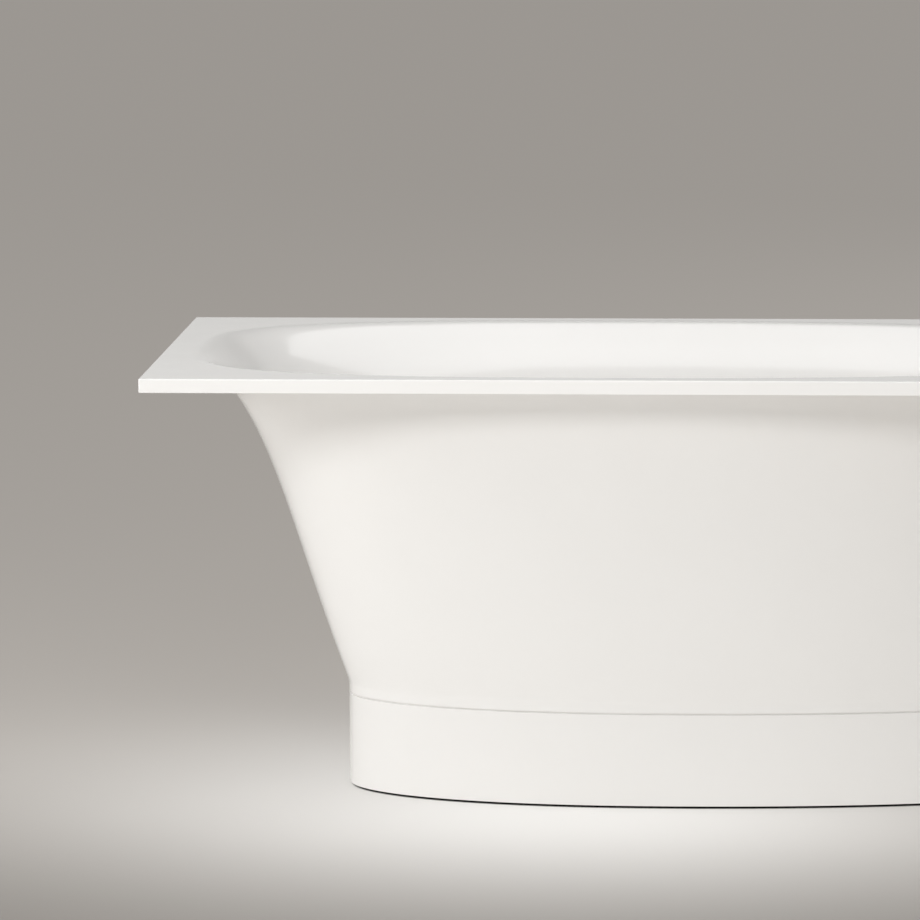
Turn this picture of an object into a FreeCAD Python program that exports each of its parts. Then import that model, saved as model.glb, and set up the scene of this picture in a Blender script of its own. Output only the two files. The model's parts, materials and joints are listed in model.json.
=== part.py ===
"""Bathtub: an egg-shaped basin under a thin square rim, with a flared skirt on a recessed plinth.

Millimetres. The origin is on the floor under the middle of the rim, +X runs to the drain end,
-Y is the front and +Z is up.
"""
import FreeCAD, Part
import math
import os
import re
from collections import namedtuple

import Sketcher
from FreeCAD import Placement, Rotation, Vector

os.makedirs("parts", exist_ok=True)

# Driving dimensions, one cell of the sheet each
SIZES = {
    # Rim and shell
    "rim_length": 1700,
    "rim_width": 750,
    "overall_height": 658,
    "rim_edge_height": 20,
    "rim_edge_rounding": 2,
    "shell_wall": 5,
    # Basin: strips of rim left around the opening, and the floor's rounding
    "floor_height": 223,
    "side_strip": 28,
    "head_strip": 44,
    "drain_strip": 104,
    "widest_offset": 115,
    "foot_head_margin": 7,
    "foot_side_margin": 1,
    "foot_drain_step": 36,
    "floor_round_head": 88,
    "floor_round_side": 50,
    "floor_round_drain": 60,
    # Skirt and plinth
    "skirt_wall": 4,
    "skirt_gap": 1,
    "skirt_drain_strip": 58,
    "band_height": 14,
    "plinth_head_inset": 267,
    "plinth_side_inset": 196,
    "plinth_drain_inset": 320,
    "plinth_wall": 4,
    "plinth_height": 136,
    "floor_gap": 4,
    "seam_height": 2,
    "seam_recess": 2,
    "joint_flange_width": 18,
    "joint_flange_thickness": 4,
    "bolt_radius": 2.5,
    "bolt_fit": 0.25,
    "bolt_head_radius": 4.5,
    "bolt_head_height": 3,
    "bolt_end": 6,
    "bolt_nut_radius": 4.6,
    "bolt_nut_height": 4,
    # Boards
    "board_gap": 1,
    "board_thickness": 16,
    "board_side_inset": 64,
    "board_head_gap": 22,
    "board_waste_gap": 36,
    # Leg rails: hat sections screwed under the base board
    "rail_half_width": 20,
    "rail_flange": 18,
    "rail_depth": 34,
    "rail_wall": 2,
    "rail_bend": 1.5,
    "rail_side_inset": 47,
    "rail_head_inset": 80,
    "rail_drain_inset": 125,
    "bracket_length": 76,
    "screw_inset": 14,
    "screw_radius": 2.2,
    "screw_fit": 0.05,
    "screw_grip": 12,
    "screw_head_radius": 4.5,
    "screw_head_height": 3,
    # Levelling feet
    "foot_side_inset": 76,
    "pad_radius": 25,
    "pad_edge": 6,
    "pad_crown": 4,
    "pad_rounding": 1.5,
    "pad_boss_radius": 9.5,
    "pad_height": 18,
    "pad_floor": 6,
    "stud_radius": 5,
    "stud_fit": 0.05,
    "stud_tip": 1.5,
    "stud_head_room": 4,
    "stud_hole_fit": 0.6,
    "collar_radius": 8.5,
    "collar_height": 6,
    "leg_nut_radius": 9.8,
    "leg_nut_height": 8,
    # Waste in the basin floor
    "waste_inset": 72,
    "waste_seal_thickness": 1.5,
    "waste_flange_radius": 35,
    "waste_flange_thickness": 2.5,
    "waste_flange_edge": 1.2,
    "seat_radius": 23.5,
    "sleeve_radius": 24.5,
    "sleeve_bore": 21,
    "sleeve_length": 32,
    "sleeve_fit": 0.05,
    "hole_fit": 0.7,
    "cross_width": 4,
    "cross_height": 6,
    "cross_hub": 9,
    "cross_lift": 1,
    "body_seal_thickness": 3,
    "body_collar_radius": 36,
    "body_collar_height": 5,
    "body_radius": 31,
    "body_depth": 66,
    "body_floor": 5,
    "outlet_radius": 20,
    "outlet_bore": 17,
    "outlet_drop": 18,
    "union_radius": 23,
    "union_height": 4,
    "spigot_radius": 10,
    "spigot_bore": 8,
    "spigot_length": 22,
    "spigot_drop": 32,
    "gland_radius": 4.5,
    "gland_length": 8,
    "gland_offset": 19,
    # Plug and its lever
    "plug_radius": 31,
    "plug_gap": 0.3,
    "plug_edge": 3,
    "plug_crown": 5,
    "plug_crown_radius": 16,
    "plug_hub_radius": 10,
    "plug_hub_length": 6,
    "plug_rounding": 1.5,
    "plug_seal_height": 4,
    "stem_radius": 4,
    "stem_fit": 0.05,
    "lever_arm": 17,
    "lever_drop": 50,
    "lever_throw": 9,
    "lever_thickness": 7,
    "lever_boss": 4.5,
    "lever_tip": 3,
    "lever_bar_height": 3.6,
    "lever_pin_radius": 2,
    "lever_pin_fit": 0.05,
    "lever_gap": 0.3,
    # Trap
    "trap_seal_thickness": 3,
    "trap_bore": 17,
    "trap_floor_gap": 8,
    "trap_turn": 34,
    "trap_rise": 22,
    "trap_outlet_turn": 30,
    "trap_outlet_length": 76,
    "trap_nut_radius": 29,
    "trap_nut_height": 19,
    "trap_nut_lip": 4,
    "trap_fit": 0.3,
    # Overflow in the drain end's wall
    "overflow_drop": 78,
    "pad_face": 7.5,
    "pad_back": 8.5,
    "overflow_pad_radius": 38,
    "overflow_flange_radius": 34,
    "overflow_flange_thickness": 3,
    "overflow_sleeve_length": 20,
    "overflow_seal_thickness": 2,
    "elbow_collar_radius": 36,
    "elbow_collar_height": 4,
    "elbow_radius": 31,
    "elbow_depth": 26,
    "elbow_back": 2.5,
    "knob_radius": 33,
    "knob_edge": 5,
    "knob_crown": 4,
    "knob_crown_radius": 27,
    "knob_stand": 8,
    "knob_gap": 0.3,
    "knob_hub_radius": 8.5,
    "knob_rounding": 1.8,
    "grip_length": 46,
    "grip_width": 9,
    "grip_height": 6,
    "spindle_radius": 5,
    "spindle_fit": 0.05,
    "spindle_seat": 6,
    "drum_radius": 16,
    "drum_height": 7,
    "drum_clearance": 2,
    # Hose and cable from the overflow to the waste
    "hose_radius": 12.5,
    "hose_fit": 0.05,
    "hose_overlap": 16,
    "hose_end_run": 14,
    "clamp_wall": 1.4,
    "clamp_width": 9,
    "cable_radius": 2.5,
    # Length by which a cutter passes a face, and the first value of a sketch's dimensions
    "overrun": 10,
    "sketch_start": 1,
}

# Corner radius of the base board, as a share of its width
BOARD_CORNER_SHARE = 0.3
# Dimensions that follow from the driving ones, as formulas in cells of their own
FOLLOWING = {
    "rim_head": "rim_length / 2 - widest_offset",
    "rim_drain": "rim_length / 2 + widest_offset",
    "plinth_half": "rim_width / 2 - plinth_side_inset",
    "floor_head": "rim_head - plinth_head_inset + foot_head_margin - floor_round_head",
    "floor_drain": "rim_drain - plinth_drain_inset - foot_drain_step - floor_round_drain",
    "waste_reach": "floor_drain - waste_inset",
    "board_head_reach": "floor_head - board_head_gap",
    "board_drain_reach": "waste_reach - body_collar_radius - board_waste_gap",
    "board_width": "2 * (plinth_half - board_side_inset)",
    "board_corner": f"{BOARD_CORNER_SHARE} * board_width",
    "rail_length": "2 * (plinth_half - rail_side_inset)",
    "foot_spread": "2 * (plinth_half - foot_side_inset)",
}

# Plan outlines: the superellipse power of the head half, as a share of an ellipse's
LIP_BLUNT_SHARE = 1.7
FLOOR_BLUNT_SHARE = 1.25
PLINTH_BLUNT_SHARE = 1.1
# Rows that shape the basin from lip to floor: height, spread, and the wall's outward and downward lie
BASIN_SHARES = (
    (1.0, 1.0, 0.0, 1.0),
    (1.0, 0.925, 0.0, 1.0),
    (0.963, 0.83, 0.55, 0.85),
    (0.862, 0.612, 0.85, 0.55),
    (0.655, 0.433, 0.92, 0.40),
    (0.425, 0.258, 0.95, 0.32),
    (0.195, 0.117, 0.95, 0.32),
    (0.0, 0.0, 0.75, 1.0),
)
# Rows that shape the skirt from rim to band: height above the band, and spread from plinth to rim
SKIRT_SHARES = (
    (1.0, 1.0),
    (0.95, 0.791),
    (0.87, 0.674),
    (0.74, 0.537),
    (0.56, 0.398),
    (0.37, 0.269),
    (0.19, 0.144),
    (0.075, 0.055),
    (0.022, 0.004),
)
BAND_SHARES = (1.0, 0.6)
# Heights at which hose and cable pass between basin and skirt, from floor to overflow
HOSE_SHARES = (0.62, 0.4, 0.2, 0.0)
HOSE_BEND_SHARE = 0.45
OUTLINE_COUNT = 32
RELAX_COUNT = 60
BISECT_COUNT = 50
BOLT_COUNT = 8
HEX_SIDE_COUNT = 6
UNION_SIDE_COUNT = 8
SPLINE_DEGREE_COUNT = 3
QUARTER_TURN_DEG = 90
FULL_TURN_DEG = 360

doc = FreeCAD.newDocument("bathtub")
sheet = doc.addObject("Spreadsheet::Sheet", "Sizes")
cells = {alias: str(value) for alias, value in SIZES.items()}
cells.update({alias: "=" + formula for alias, formula in FOLLOWING.items()})
for row, (alias, content) in enumerate(cells.items(), start=1):
    sheet.set(f"A{row}", alias)
    sheet.set(f"B{row}", content)
    sheet.setAlias(f"B{row}", alias)
doc.recompute()
pieces = []


# Helpers
def size(alias):
    """A dimension, read from the sheet."""
    return float(sheet.get(alias))


def bound(text):
    """The text with each size's name turned into a reference to its cell."""
    return re.sub(r"[a-z]\w+", lambda word: "Sizes." + word.group(), text)


def at(x=0, y=0, z=0):
    """A placement without turn."""
    return Placement(Vector(x, y, z), Rotation())


def piece(label, item):
    """Names an object as one of the tub's sub-parts."""
    item.Label = label
    pieces.append(item)
    return item


def shaped(name, shape):
    """A document object that holds a shape made in code."""
    item = doc.addObject("Part::Feature", name)
    item.Shape = shape
    return item


def primitive(kind, name, placement=None, **sizes):
    """A Part primitive whose properties are bound to the sheet."""
    item = doc.addObject(kind, name)
    for prop, text in sizes.items():
        item.setExpression(prop, bound(text))
    item.Placement = placement or at()
    return item


def cut(name, base, *tools):
    """The base with every tool cut away in turn."""
    for count, tool in enumerate(tools, start=1):
        result = doc.addObject("Part::Cut", name if count == len(tools) else f"{name}_cut{count}")
        result.Base = base
        result.Tool = tool
        base = result
    return base


def fuse(name, *members):
    """All members joined in one solid."""
    result = doc.addObject("Part::MultiFuse", name)
    result.Shapes = list(members)
    return result


def copies_at(source, places):
    """A compound with a copy of the source at each place."""
    doc.recompute()
    copies = [source.Shape.copy() for place in places]
    for solid, place in zip(copies, places):
        solid.Placement = place
    return Part.makeCompound(copies)


def grouped(label, source, places):
    """One sub-part of identical separate solids."""
    return piece(label, shaped(label, copies_at(source, places)))


def sketch_on(body, name, role, level=None):
    """An empty sketch on one of the body's origin planes, raised to a level where one is given."""
    sketch = body.newObject("Sketcher::SketchObject", name)
    plane = next(feature for feature in body.Origin.OriginFeatures if feature.Role == role)
    sketch.AttachmentSupport = [(plane, "")]
    sketch.MapMode = "FlatFace"
    if level:
        sketch.setExpression("AttachmentOffset.Base.z", bound(level))
    return sketch


def hold_point(sketch, index, position, x, y):
    """Fixes one point of the sketch by two dimensions from the origin, or by an axis where one is zero."""
    for kind, text, axis in (("DistanceX", x, -2), ("DistanceY", y, -1)):
        if text == "0":
            sketch.addConstraint(Sketcher.Constraint("PointOnObject", index, position, axis))
        else:
            start = Sketcher.Constraint(kind, -1, 1, index, position, size("sketch_start"))
            number = sketch.addConstraint(start)
            sketch.setExpression(f"Constraints[{number}]", bound(text))


def polygon(body, name, role, points, level=None):
    """A closed outline of straight lines whose corners are held by dimensions."""
    sketch = sketch_on(body, name, role, level)
    count = len(points)
    turns = [math.tau * i / count for i in range(count)]
    seeds = [Vector(math.cos(turn), math.sin(turn), 0) * size("sketch_start") for turn in turns]
    for i in range(count):
        sketch.addGeometry(Part.LineSegment(seeds[i], seeds[(i + 1) % count]))
    for i in range(count):
        sketch.addConstraint(Sketcher.Constraint("Coincident", i, 2, (i + 1) % count, 1))
    for i, (x, y) in enumerate(points):
        hold_point(sketch, i, 1, x, y)
    return sketch


def circles(body, name, role, places, radius, level=None):
    """Equal circles at the given places."""
    sketch = sketch_on(body, name, role, level)
    for i, (x, y) in enumerate(places):
        seed = Vector(i, i, 0) * size("sketch_start")
        sketch.addGeometry(Part.Circle(seed, Vector(0, 0, 1), size("sketch_start")))
        hold_point(sketch, i, 3, x, y)
        number = sketch.addConstraint(Sketcher.Constraint("Radius", i, size("sketch_start")))
        sketch.setExpression(f"Constraints[{number}]", bound(radius))
    return sketch


def plain_nut(name, sides, radius, bore, height):
    """A many-sided nut with a plain bore."""
    blank = primitive("Part::Prism", name + "_blank", Circumradius=radius, Height=height)
    blank.Polygon = sides
    return cut(name, blank, primitive("Part::Cylinder", name + "_bore", Radius=bore, Height=height))


def new_body(label):
    """An empty PartDesign body."""
    body = doc.addObject("PartDesign::Body", label)
    body.Label = label
    return body


def turned(label, points):
    """A body turned about its own Z from a half profile of radius and height."""
    body = new_body(label)
    turn = body.newObject("PartDesign::Revolution", label + "_turn")
    turn.Profile = polygon(body, label + "_profile", "XZ_Plane", points)
    turn.ReferenceAxis = (turn.Profile[0], ["V_Axis"])
    turn.Angle = FULL_TURN_DEG
    doc.recompute()
    return body


def pad(body, name, sketch, length, midplane=False):
    """A pad whose length is bound to the sheet."""
    feature = body.newObject("PartDesign::Pad", name)
    feature.Profile = sketch
    feature.setExpression("Length", bound(length))
    feature.Midplane = midplane
    doc.recompute()
    return feature


def pocket(body, name, sketch):
    """A pocket through all, both ways; it has to take material away."""
    before = body.Shape.Volume
    feature = body.newObject("PartDesign::Pocket", name)
    feature.Profile = sketch
    feature.Type = "ThroughAll"
    feature.Midplane = True
    doc.recompute()
    if body.Shape.Volume >= before:
        raise RuntimeError(f"{name} cuts nothing")
    return feature


def rounded(body, name, chosen, radius):
    """A fillet on the edges of the body's last feature that the test chooses."""
    base = body.Tip
    edges = [f"Edge{i}" for i, edge in enumerate(base.Shape.Edges, start=1) if chosen(edge)]
    feature = body.newObject("PartDesign::Fillet", name)
    feature.Base = (base, edges)
    feature.setExpression("Radius", bound(radius))
    doc.recompute()
    return feature


def add_cross(body, name, bottom, bore):
    """Adds a four-armed cross with a bored hub inside a sleeve, its underside at the given level."""
    reach = "(sleeve_bore + sleeve_radius) / 2"
    half = "cross_width / 2"
    corners = [(f"-{reach}", f"-{half}"), (reach, f"-{half}"), (reach, half), (f"-{reach}", half)]
    arm_plan = polygon(body, name + "_arm_plan", "XY_Plane", corners, bottom)
    arms = pad(body, name + "_arm", arm_plan, "cross_height")
    pattern = body.newObject("PartDesign::PolarPattern", name + "_arms")
    pattern.Originals = [arms]
    pattern.Axis = (arm_plan, ["N_Axis"])
    pattern.Angle = QUARTER_TURN_DEG
    pattern.Occurrences = 2
    body.Tip = pattern
    doc.recompute()
    middle = [("0", "0")]
    hub_plan = circles(body, name + "_hub_plan", "XY_Plane", middle, "cross_hub", bottom)
    pad(body, name + "_hub", hub_plan, "cross_height")
    pocket(body, name + "_bore", circles(body, name + "_bore_plan", "XY_Plane", middle, bore, bottom))


# Egg outlines in plan
Outline = namedtuple("Outline", "head drain half blunt_share")
widest = -size("widest_offset")
rim_half = size("rim_width") / 2


def grown(outline, margin):
    """The outline moved outwards by a margin."""
    return Outline(outline.head + margin, outline.drain + margin, outline.half + margin, outline.blunt_share)


def between(low, high, share):
    """The outline that lies a share of the way from one outline to another."""
    return Outline(*(a + (b - a) * share for a, b in zip(low, high)))


def egg_point(outline, angle, z):
    """A point of the outline; angle 0 is the drain end's tip and the head half is a superellipse."""
    along = math.cos(angle)
    across = math.sin(angle)
    reach = outline.drain if along > 0 else outline.head
    bend = 1 if along > 0 else 1 / outline.blunt_share
    x = widest + math.copysign(reach * abs(along) ** bend, along)
    y = math.copysign(outline.half * abs(across) ** bend, across)
    return Vector(x, y, z)


def ring_poles(outline, z):
    """Poles of the closed cubic spline that passes through the outline's points."""
    points = [egg_point(outline, math.tau * i / OUTLINE_COUNT, z) for i in range(OUTLINE_COUNT)]
    poles = list(points)
    for sweep in range(RELAX_COUNT):
        for i in range(OUTLINE_COUNT):
            neighbours = poles[i - 1] + poles[(i + 1) % OUTLINE_COUNT]
            poles[i] = (points[i] * 6 - neighbours) * 0.25
    return poles


def egg_surface(rows):
    """A smooth side surface that rows of outline and height shape from top to bottom."""
    rings = [ring_poles(outline, z) for outline, z in rows]
    spans = len(rows) - SPLINE_DEGREE_COUNT
    clamp = [SPLINE_DEGREE_COUNT + 1]
    poles = [[ring[i] for ring in rings] for i in range(OUTLINE_COUNT)]
    surface = Part.BSplineSurface()
    surface.buildFromPolesMultsKnots(
        poles,
        [1] * (OUTLINE_COUNT + 1),
        clamp + [1] * (spans - 1) + clamp,
        list(range(OUTLINE_COUNT + 1)),
        list(range(spans + 1)),
        True,
        False,
        SPLINE_DEGREE_COUNT,
        SPLINE_DEGREE_COUNT,
    )
    return surface


def egg_solid(surface):
    """The solid inside a side surface, closed flat at its top and bottom."""
    side = surface.toShape()
    rims = [edge for edge in side.Edges if not edge.isSeam(side)]
    caps = [Part.Face(Part.Wire(edge)) for edge in rims]
    shell = Part.Shell([side] + caps)
    shell.sewShape()
    return Part.Solid(shell)


def egg_prism(name, outline, low, length):
    """An upright prism of an outline, from a level up, its length bound to the sheet."""
    curve = Part.BSplineCurve()
    knots = list(range(OUTLINE_COUNT + 1))
    poles = ring_poles(outline, low)
    curve.buildFromPolesMultsKnots(poles, [1] * len(knots), knots, True, SPLINE_DEGREE_COUNT)
    prism = doc.addObject("Part::Extrusion", name)
    prism.Base = shaped(name + "_outline", Part.Wire(curve.toShape()))
    prism.DirMode = "Custom"
    prism.Dir = Vector(0, 0, 1)
    prism.Solid = True
    prism.setExpression("LengthFwd", bound(length))
    return prism


def tip_point(surface, z):
    """The point and the surface place of the drain end's tip at a height."""
    u = max(range(OUTLINE_COUNT), key=lambda knot: surface.value(knot, 0).x)
    low, high = surface.bounds()[2:]
    for step in range(BISECT_COUNT):
        middle = (low + high) / 2
        if surface.value(u, middle).z > z:
            low = middle
        else:
            high = middle
    return surface.value(u, low), u, low


lip = Outline(
    size("rim_head") - size("head_strip"),
    size("rim_drain") - size("drain_strip"),
    rim_half - size("side_strip"),
    LIP_BLUNT_SHARE,
)
plinth_plan = Outline(
    size("rim_head") - size("plinth_head_inset"),
    size("rim_drain") - size("plinth_drain_inset"),
    size("plinth_half"),
    PLINTH_BLUNT_SHARE,
)
basin_foot = Outline(
    plinth_plan.head + size("foot_head_margin"),
    plinth_plan.drain - size("foot_drain_step"),
    plinth_plan.half + size("foot_side_margin"),
    FLOOR_BLUNT_SHARE,
)
floor_edge = Outline(
    size("floor_head"),
    size("floor_drain"),
    basin_foot.half - size("floor_round_side"),
    FLOOR_BLUNT_SHARE,
)
skirt_top = grown(lip, size("skirt_wall") + size("skirt_gap"))._replace(
    drain=size("rim_drain") - size("skirt_drain_strip")
)

# Levels
rim_top = size("overall_height")
rim_edge_under = rim_top - size("rim_edge_height")
floor_level = size("floor_height")
shell_under = floor_level - size("shell_wall")
rail_top = shell_under - size("board_thickness")
web_under = rail_top - size("rail_depth")
plinth_top = size("floor_gap") + size("plinth_height")
skirt_bottom = plinth_top + size("seam_height")
band_top = skirt_bottom + size("band_height")
waste_x = widest + size("waste_reach")


# Tub shell: a hollowed rim slab with the basin hung in it
def basin_rows(wall):
    """Rows of the basin's inside, or of its outside where a wall is given."""
    rows = []
    for height, spread, outward, downward in BASIN_SHARES:
        outline = between(basin_foot, lip, spread)
        level = floor_level + height * (rim_top - floor_level) - wall * downward
        rows.append((grown(outline, wall * outward), level))
    rows.append((floor_edge, floor_level - wall))
    return rows


basin_surface = egg_surface(basin_rows(0))
bowl_surface = egg_surface(basin_rows(size("shell_wall")))

slab = new_body("rim_slab")
slab_corners = [
    ("-rim_length / 2", "-rim_width / 2"),
    ("rim_length / 2", "-rim_width / 2"),
    ("rim_length / 2", "rim_width / 2"),
    ("-rim_length / 2", "rim_width / 2"),
]
pad(slab, "rim_slab_pad", polygon(slab, "rim_slab_plan", "XY_Plane", slab_corners), "rim_edge_height")
rounded(slab, "rim_slab_edges", lambda edge: edge.BoundBox.ZMax > size("shell_wall"), "rim_edge_rounding")
slab.Placement = at(z=rim_edge_under)
recess = primitive(
    "Part::Box",
    "rim_recess",
    at(size("shell_wall") - size("rim_length") / 2, size("shell_wall") - rim_half, rim_edge_under),
    Length="rim_length - 2 * shell_wall",
    Width="rim_width - 2 * shell_wall",
    Height="rim_edge_height - shell_wall",
)
rim = cut("rim_hollowed", slab, recess)
bowl = shaped("bowl_outside", egg_solid(bowl_surface))
basin = shaped("basin_inside", egg_solid(basin_surface))
tub_blank = cut("tub_blank", fuse("tub_filled", rim, bowl), basin)

# The overflow's own frame: on the drain end's wall, +Z along the wall's normal into the basin
overflow_point, tip_u, tip_v = tip_point(basin_surface, rim_top - size("overflow_drop"))
inward = basin_surface.normal(tip_u, tip_v)
inward = inward if inward.x < 0 else -inward
across = Vector(0, 1, 0)
overflow_frame = Placement(overflow_point, Rotation(across.cross(inward), across, inward, "ZYX"))


def in_overflow(z=0):
    """A placement along the overflow's axis."""
    return overflow_frame.multiply(at(z=z))


overflow_pad = primitive(
    "Part::Cylinder",
    "overflow_pad",
    in_overflow(-size("pad_back")),
    Radius="overflow_pad_radius",
    Height="pad_back + pad_face",
)
overflow_hole = primitive(
    "Part::Cylinder",
    "overflow_hole",
    in_overflow(-size("pad_back") - size("overrun")),
    Radius="sleeve_radius + hole_fit",
    Height="pad_back + pad_face + 2 * overrun",
)
waste_hole = primitive(
    "Part::Cylinder",
    "waste_hole",
    at(waste_x, 0, shell_under - size("overrun")),
    Radius="sleeve_radius + hole_fit",
    Height="shell_wall + 2 * overrun",
)
piece("tub_shell", cut("tub_shell", fuse("tub_padded", tub_blank, overflow_pad), overflow_hole, waste_hole))


# Rim boards: two halves of a frame that fills the rim's underside around the skirt
board_edge = grown(skirt_top, size("board_gap"))
board_opening = egg_prism("board_opening", board_edge, rim_edge_under, "rim_edge_height")
for end, low_x, reach in (
    ("head", size("shell_wall") - size("rim_length") / 2, "rim_head - shell_wall"),
    ("drain", widest, "rim_drain - shell_wall"),
):
    half_board = primitive(
        "Part::Box",
        f"rim_half_{end}",
        at(low_x, size("shell_wall") - rim_half, rim_edge_under),
        Length=reach,
        Width="rim_width - 2 * shell_wall",
        Height="rim_edge_height - shell_wall",
    )
    piece(f"rim_board_{end}", cut(f"rim_board_{end}", half_board, board_opening))


# Skirt, plinth and the seam between them, bolted through their inner flanges
def skirt_rows(margin, bottom):
    """Rows of the skirt's side, moved outwards by a margin, down to a bottom level."""
    flare = rim_top - size("shell_wall") - band_top
    rows = []
    for height, spread in SKIRT_SHARES:
        outline = between(plinth_plan, skirt_top, spread)
        rows.append((grown(outline, margin), band_top + height * flare))
    foot = grown(plinth_plan, margin)
    rows += [(foot, bottom + share * (band_top - bottom)) for share in BAND_SHARES]
    rows.append((foot, bottom))
    return rows


flange_top = skirt_bottom + size("joint_flange_thickness")
skirt_inner_surface = egg_surface(skirt_rows(-size("skirt_wall"), flange_top))
skirt_outside = shaped("skirt_outside", egg_solid(egg_surface(skirt_rows(0, skirt_bottom))))
skirt_inside = shaped("skirt_inside", egg_solid(skirt_inner_surface))
flange_outline = grown(plinth_plan, -size("plinth_wall") - size("joint_flange_width"))
flange_opening = egg_prism(
    "flange_opening",
    flange_outline,
    size("floor_gap"),
    "plinth_height + seam_height + joint_flange_thickness + overrun",
)

bolt_line = grown(plinth_plan, -size("plinth_wall") - size("joint_flange_width") / 2)
bolt_low = plinth_top - size("joint_flange_thickness")
bolt_stack = "2 * joint_flange_thickness + seam_height"
bolt_places = []
for step in range(BOLT_COUNT):
    bolt_places.append(at(*egg_point(bolt_line, math.tau * (step + 0.5) / BOLT_COUNT, bolt_low)))
bolt_hole = primitive("Part::Cylinder", "bolt_hole", Radius="bolt_radius + bolt_fit", Height=bolt_stack)
bolt_holes = shaped("bolt_holes", copies_at(bolt_hole, bolt_places))

piece("skirt", cut("skirt", skirt_outside, skirt_inside, flange_opening, bolt_holes))
plinth_outside = egg_prism("plinth_outside", plinth_plan, size("floor_gap"), "plinth_height")
plinth_inside = egg_prism(
    "plinth_inside",
    grown(plinth_plan, -size("plinth_wall")),
    size("floor_gap"),
    "plinth_height - joint_flange_thickness",
)
piece("plinth", cut("plinth", plinth_outside, plinth_inside, flange_opening, bolt_holes))
gasket_edge = grown(plinth_plan, -size("seam_recess"))
gasket_outside = egg_prism("gasket_outside", gasket_edge, plinth_top, "seam_height")
piece("seam_gasket", cut("seam_gasket", gasket_outside, flange_opening, bolt_holes))

bolt = turned("bolt", [
    ("0", "-bolt_head_height"),
    ("bolt_head_radius", "-bolt_head_height"),
    ("bolt_head_radius", "0"),
    ("bolt_radius", "0"),
    ("bolt_radius", f"{bolt_stack} + bolt_end"),
    ("0", f"{bolt_stack} + bolt_end"),
])
grouped("flange_bolts", bolt, bolt_places)
bolt_nut_bore = "bolt_radius + bolt_fit"
bolt_nut = plain_nut("bolt_nut", HEX_SIDE_COUNT, "bolt_nut_radius", bolt_nut_bore, "bolt_nut_height")
nut_lift = at(z=2 * size("joint_flange_thickness") + size("seam_height"))
grouped("flange_nuts", bolt_nut, [place.multiply(nut_lift) for place in bolt_places])


# Base board and the rails that carry the feet
rail_places = {
    "head": widest - size("board_head_reach") + size("rail_head_inset"),
    "drain": widest + size("board_drain_reach") - size("rail_drain_inset"),
}
bracket_x = widest
screw_x = size("rail_half_width") + size("rail_flange") / 2
foot_y = size("foot_spread") / 2
rail_screw_y = size("rail_length") / 2 - size("screw_inset")
bracket_screw_y = size("bracket_length") / 2 - size("screw_inset")


def leg_rail(label, length, stud_rows, x):
    """A hat-section rail, its flanges against the base board, with stud and screw holes."""
    body = new_body(label)
    outer = "rail_half_width"
    inner = "(rail_half_width - rail_wall)"
    tip = "(rail_half_width + rail_flange)"
    right = [
        (outer, "-rail_depth"),
        (outer, "-rail_wall"),
        (tip, "-rail_wall"),
        (tip, "0"),
        (inner, "0"),
        (inner, "rail_wall - rail_depth"),
    ]
    left = [("-" + x_text, y_text) for x_text, y_text in reversed(right)]
    section = polygon(body, label + "_section", "XZ_Plane", right + left)
    pad(body, label + "_pad", section, length, midplane=True)

    def is_bend(edge):
        box = edge.BoundBox
        return box.YLength > size("rail_half_width") and abs(box.XMin) < screw_x

    rounded(body, label + "_bends", is_bend, "rail_bend")
    studs = circles(body, label + "_stud_plan", "XY_Plane", stud_rows, "stud_radius + stud_hole_fit")
    pocket(body, label + "_stud_holes", studs)
    away = f"({length}) / 2 - screw_inset"
    offset = "(rail_half_width + rail_flange / 2)"
    places = [(sx + offset, sy + f"({away})") for sx in ("", "-") for sy in ("", "-")]
    screws = circles(body, label + "_screw_plan", "XY_Plane", places, "screw_radius + screw_fit")
    pocket(body, label + "_screw_holes", screws)
    body.Placement = at(x, 0, rail_top)
    return piece(label, body)


for end, x in rail_places.items():
    leg_rail(f"leg_rail_{end}", "rail_length", [("0", "foot_spread / 2"), ("0", "-foot_spread / 2")], x)
leg_rail("leg_bracket_centre", "bracket_length", [("0", "0")], bracket_x)

screw_places = []
screw_rows = [(x, rail_screw_y) for x in rail_places.values()] + [(bracket_x, bracket_screw_y)]
for x, y in screw_rows:
    for side_x in (-screw_x, screw_x):
        for side_y in (-y, y):
            screw_places.append(at(x + side_x, side_y, rail_top))
rail_screw = turned("rail_screw", [
    ("0", "-rail_wall - screw_head_height"),
    ("screw_head_radius", "-rail_wall - screw_head_height"),
    ("screw_head_radius", "-rail_wall"),
    ("screw_radius", "-rail_wall"),
    ("screw_radius", "screw_grip"),
    ("0", "screw_grip"),
])
grouped("rail_screws", rail_screw, screw_places)

board = new_body("board_blank")
board_corners = [
    ("-board_head_reach", "-board_width / 2"),
    ("board_drain_reach", "-board_width / 2"),
    ("board_drain_reach", "board_width / 2"),
    ("-board_head_reach", "board_width / 2"),
]
board_plan = polygon(board, "board_blank_plan", "XY_Plane", board_corners)
pad(board, "board_blank_pad", board_plan, "board_thickness")
rounded(board, "board_blank_corners", lambda edge: edge.BoundBox.ZLength > size("shell_wall"), "board_corner")
board.Placement = at(widest, 0, rail_top)
pilot_radius = "screw_radius + screw_fit"
pilot = primitive("Part::Cylinder", "pilot_hole", Radius=pilot_radius, Height="screw_grip + screw_fit")
pilots = shaped("pilot_holes", copies_at(pilot, screw_places))
piece("base_board", cut("base_board", board, pilots))

# Levelling feet
foot_places = {
    "head_front": (rail_places["head"], -foot_y),
    "head_back": (rail_places["head"], foot_y),
    "drain_front": (rail_places["drain"], -foot_y),
    "drain_back": (rail_places["drain"], foot_y),
    "centre": (bracket_x, 0),
}
stud_length = "floor_height - shell_wall - board_thickness - stud_head_room - pad_floor"
collar_low = "pad_height - pad_floor"


def is_pad_edge(edge):
    """Whether an edge is the upper outer one of a foot's pad."""
    box = edge.BoundBox
    return box.XMax > size("pad_boss_radius") + size("pad_crown") and box.ZMin > 0


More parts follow.
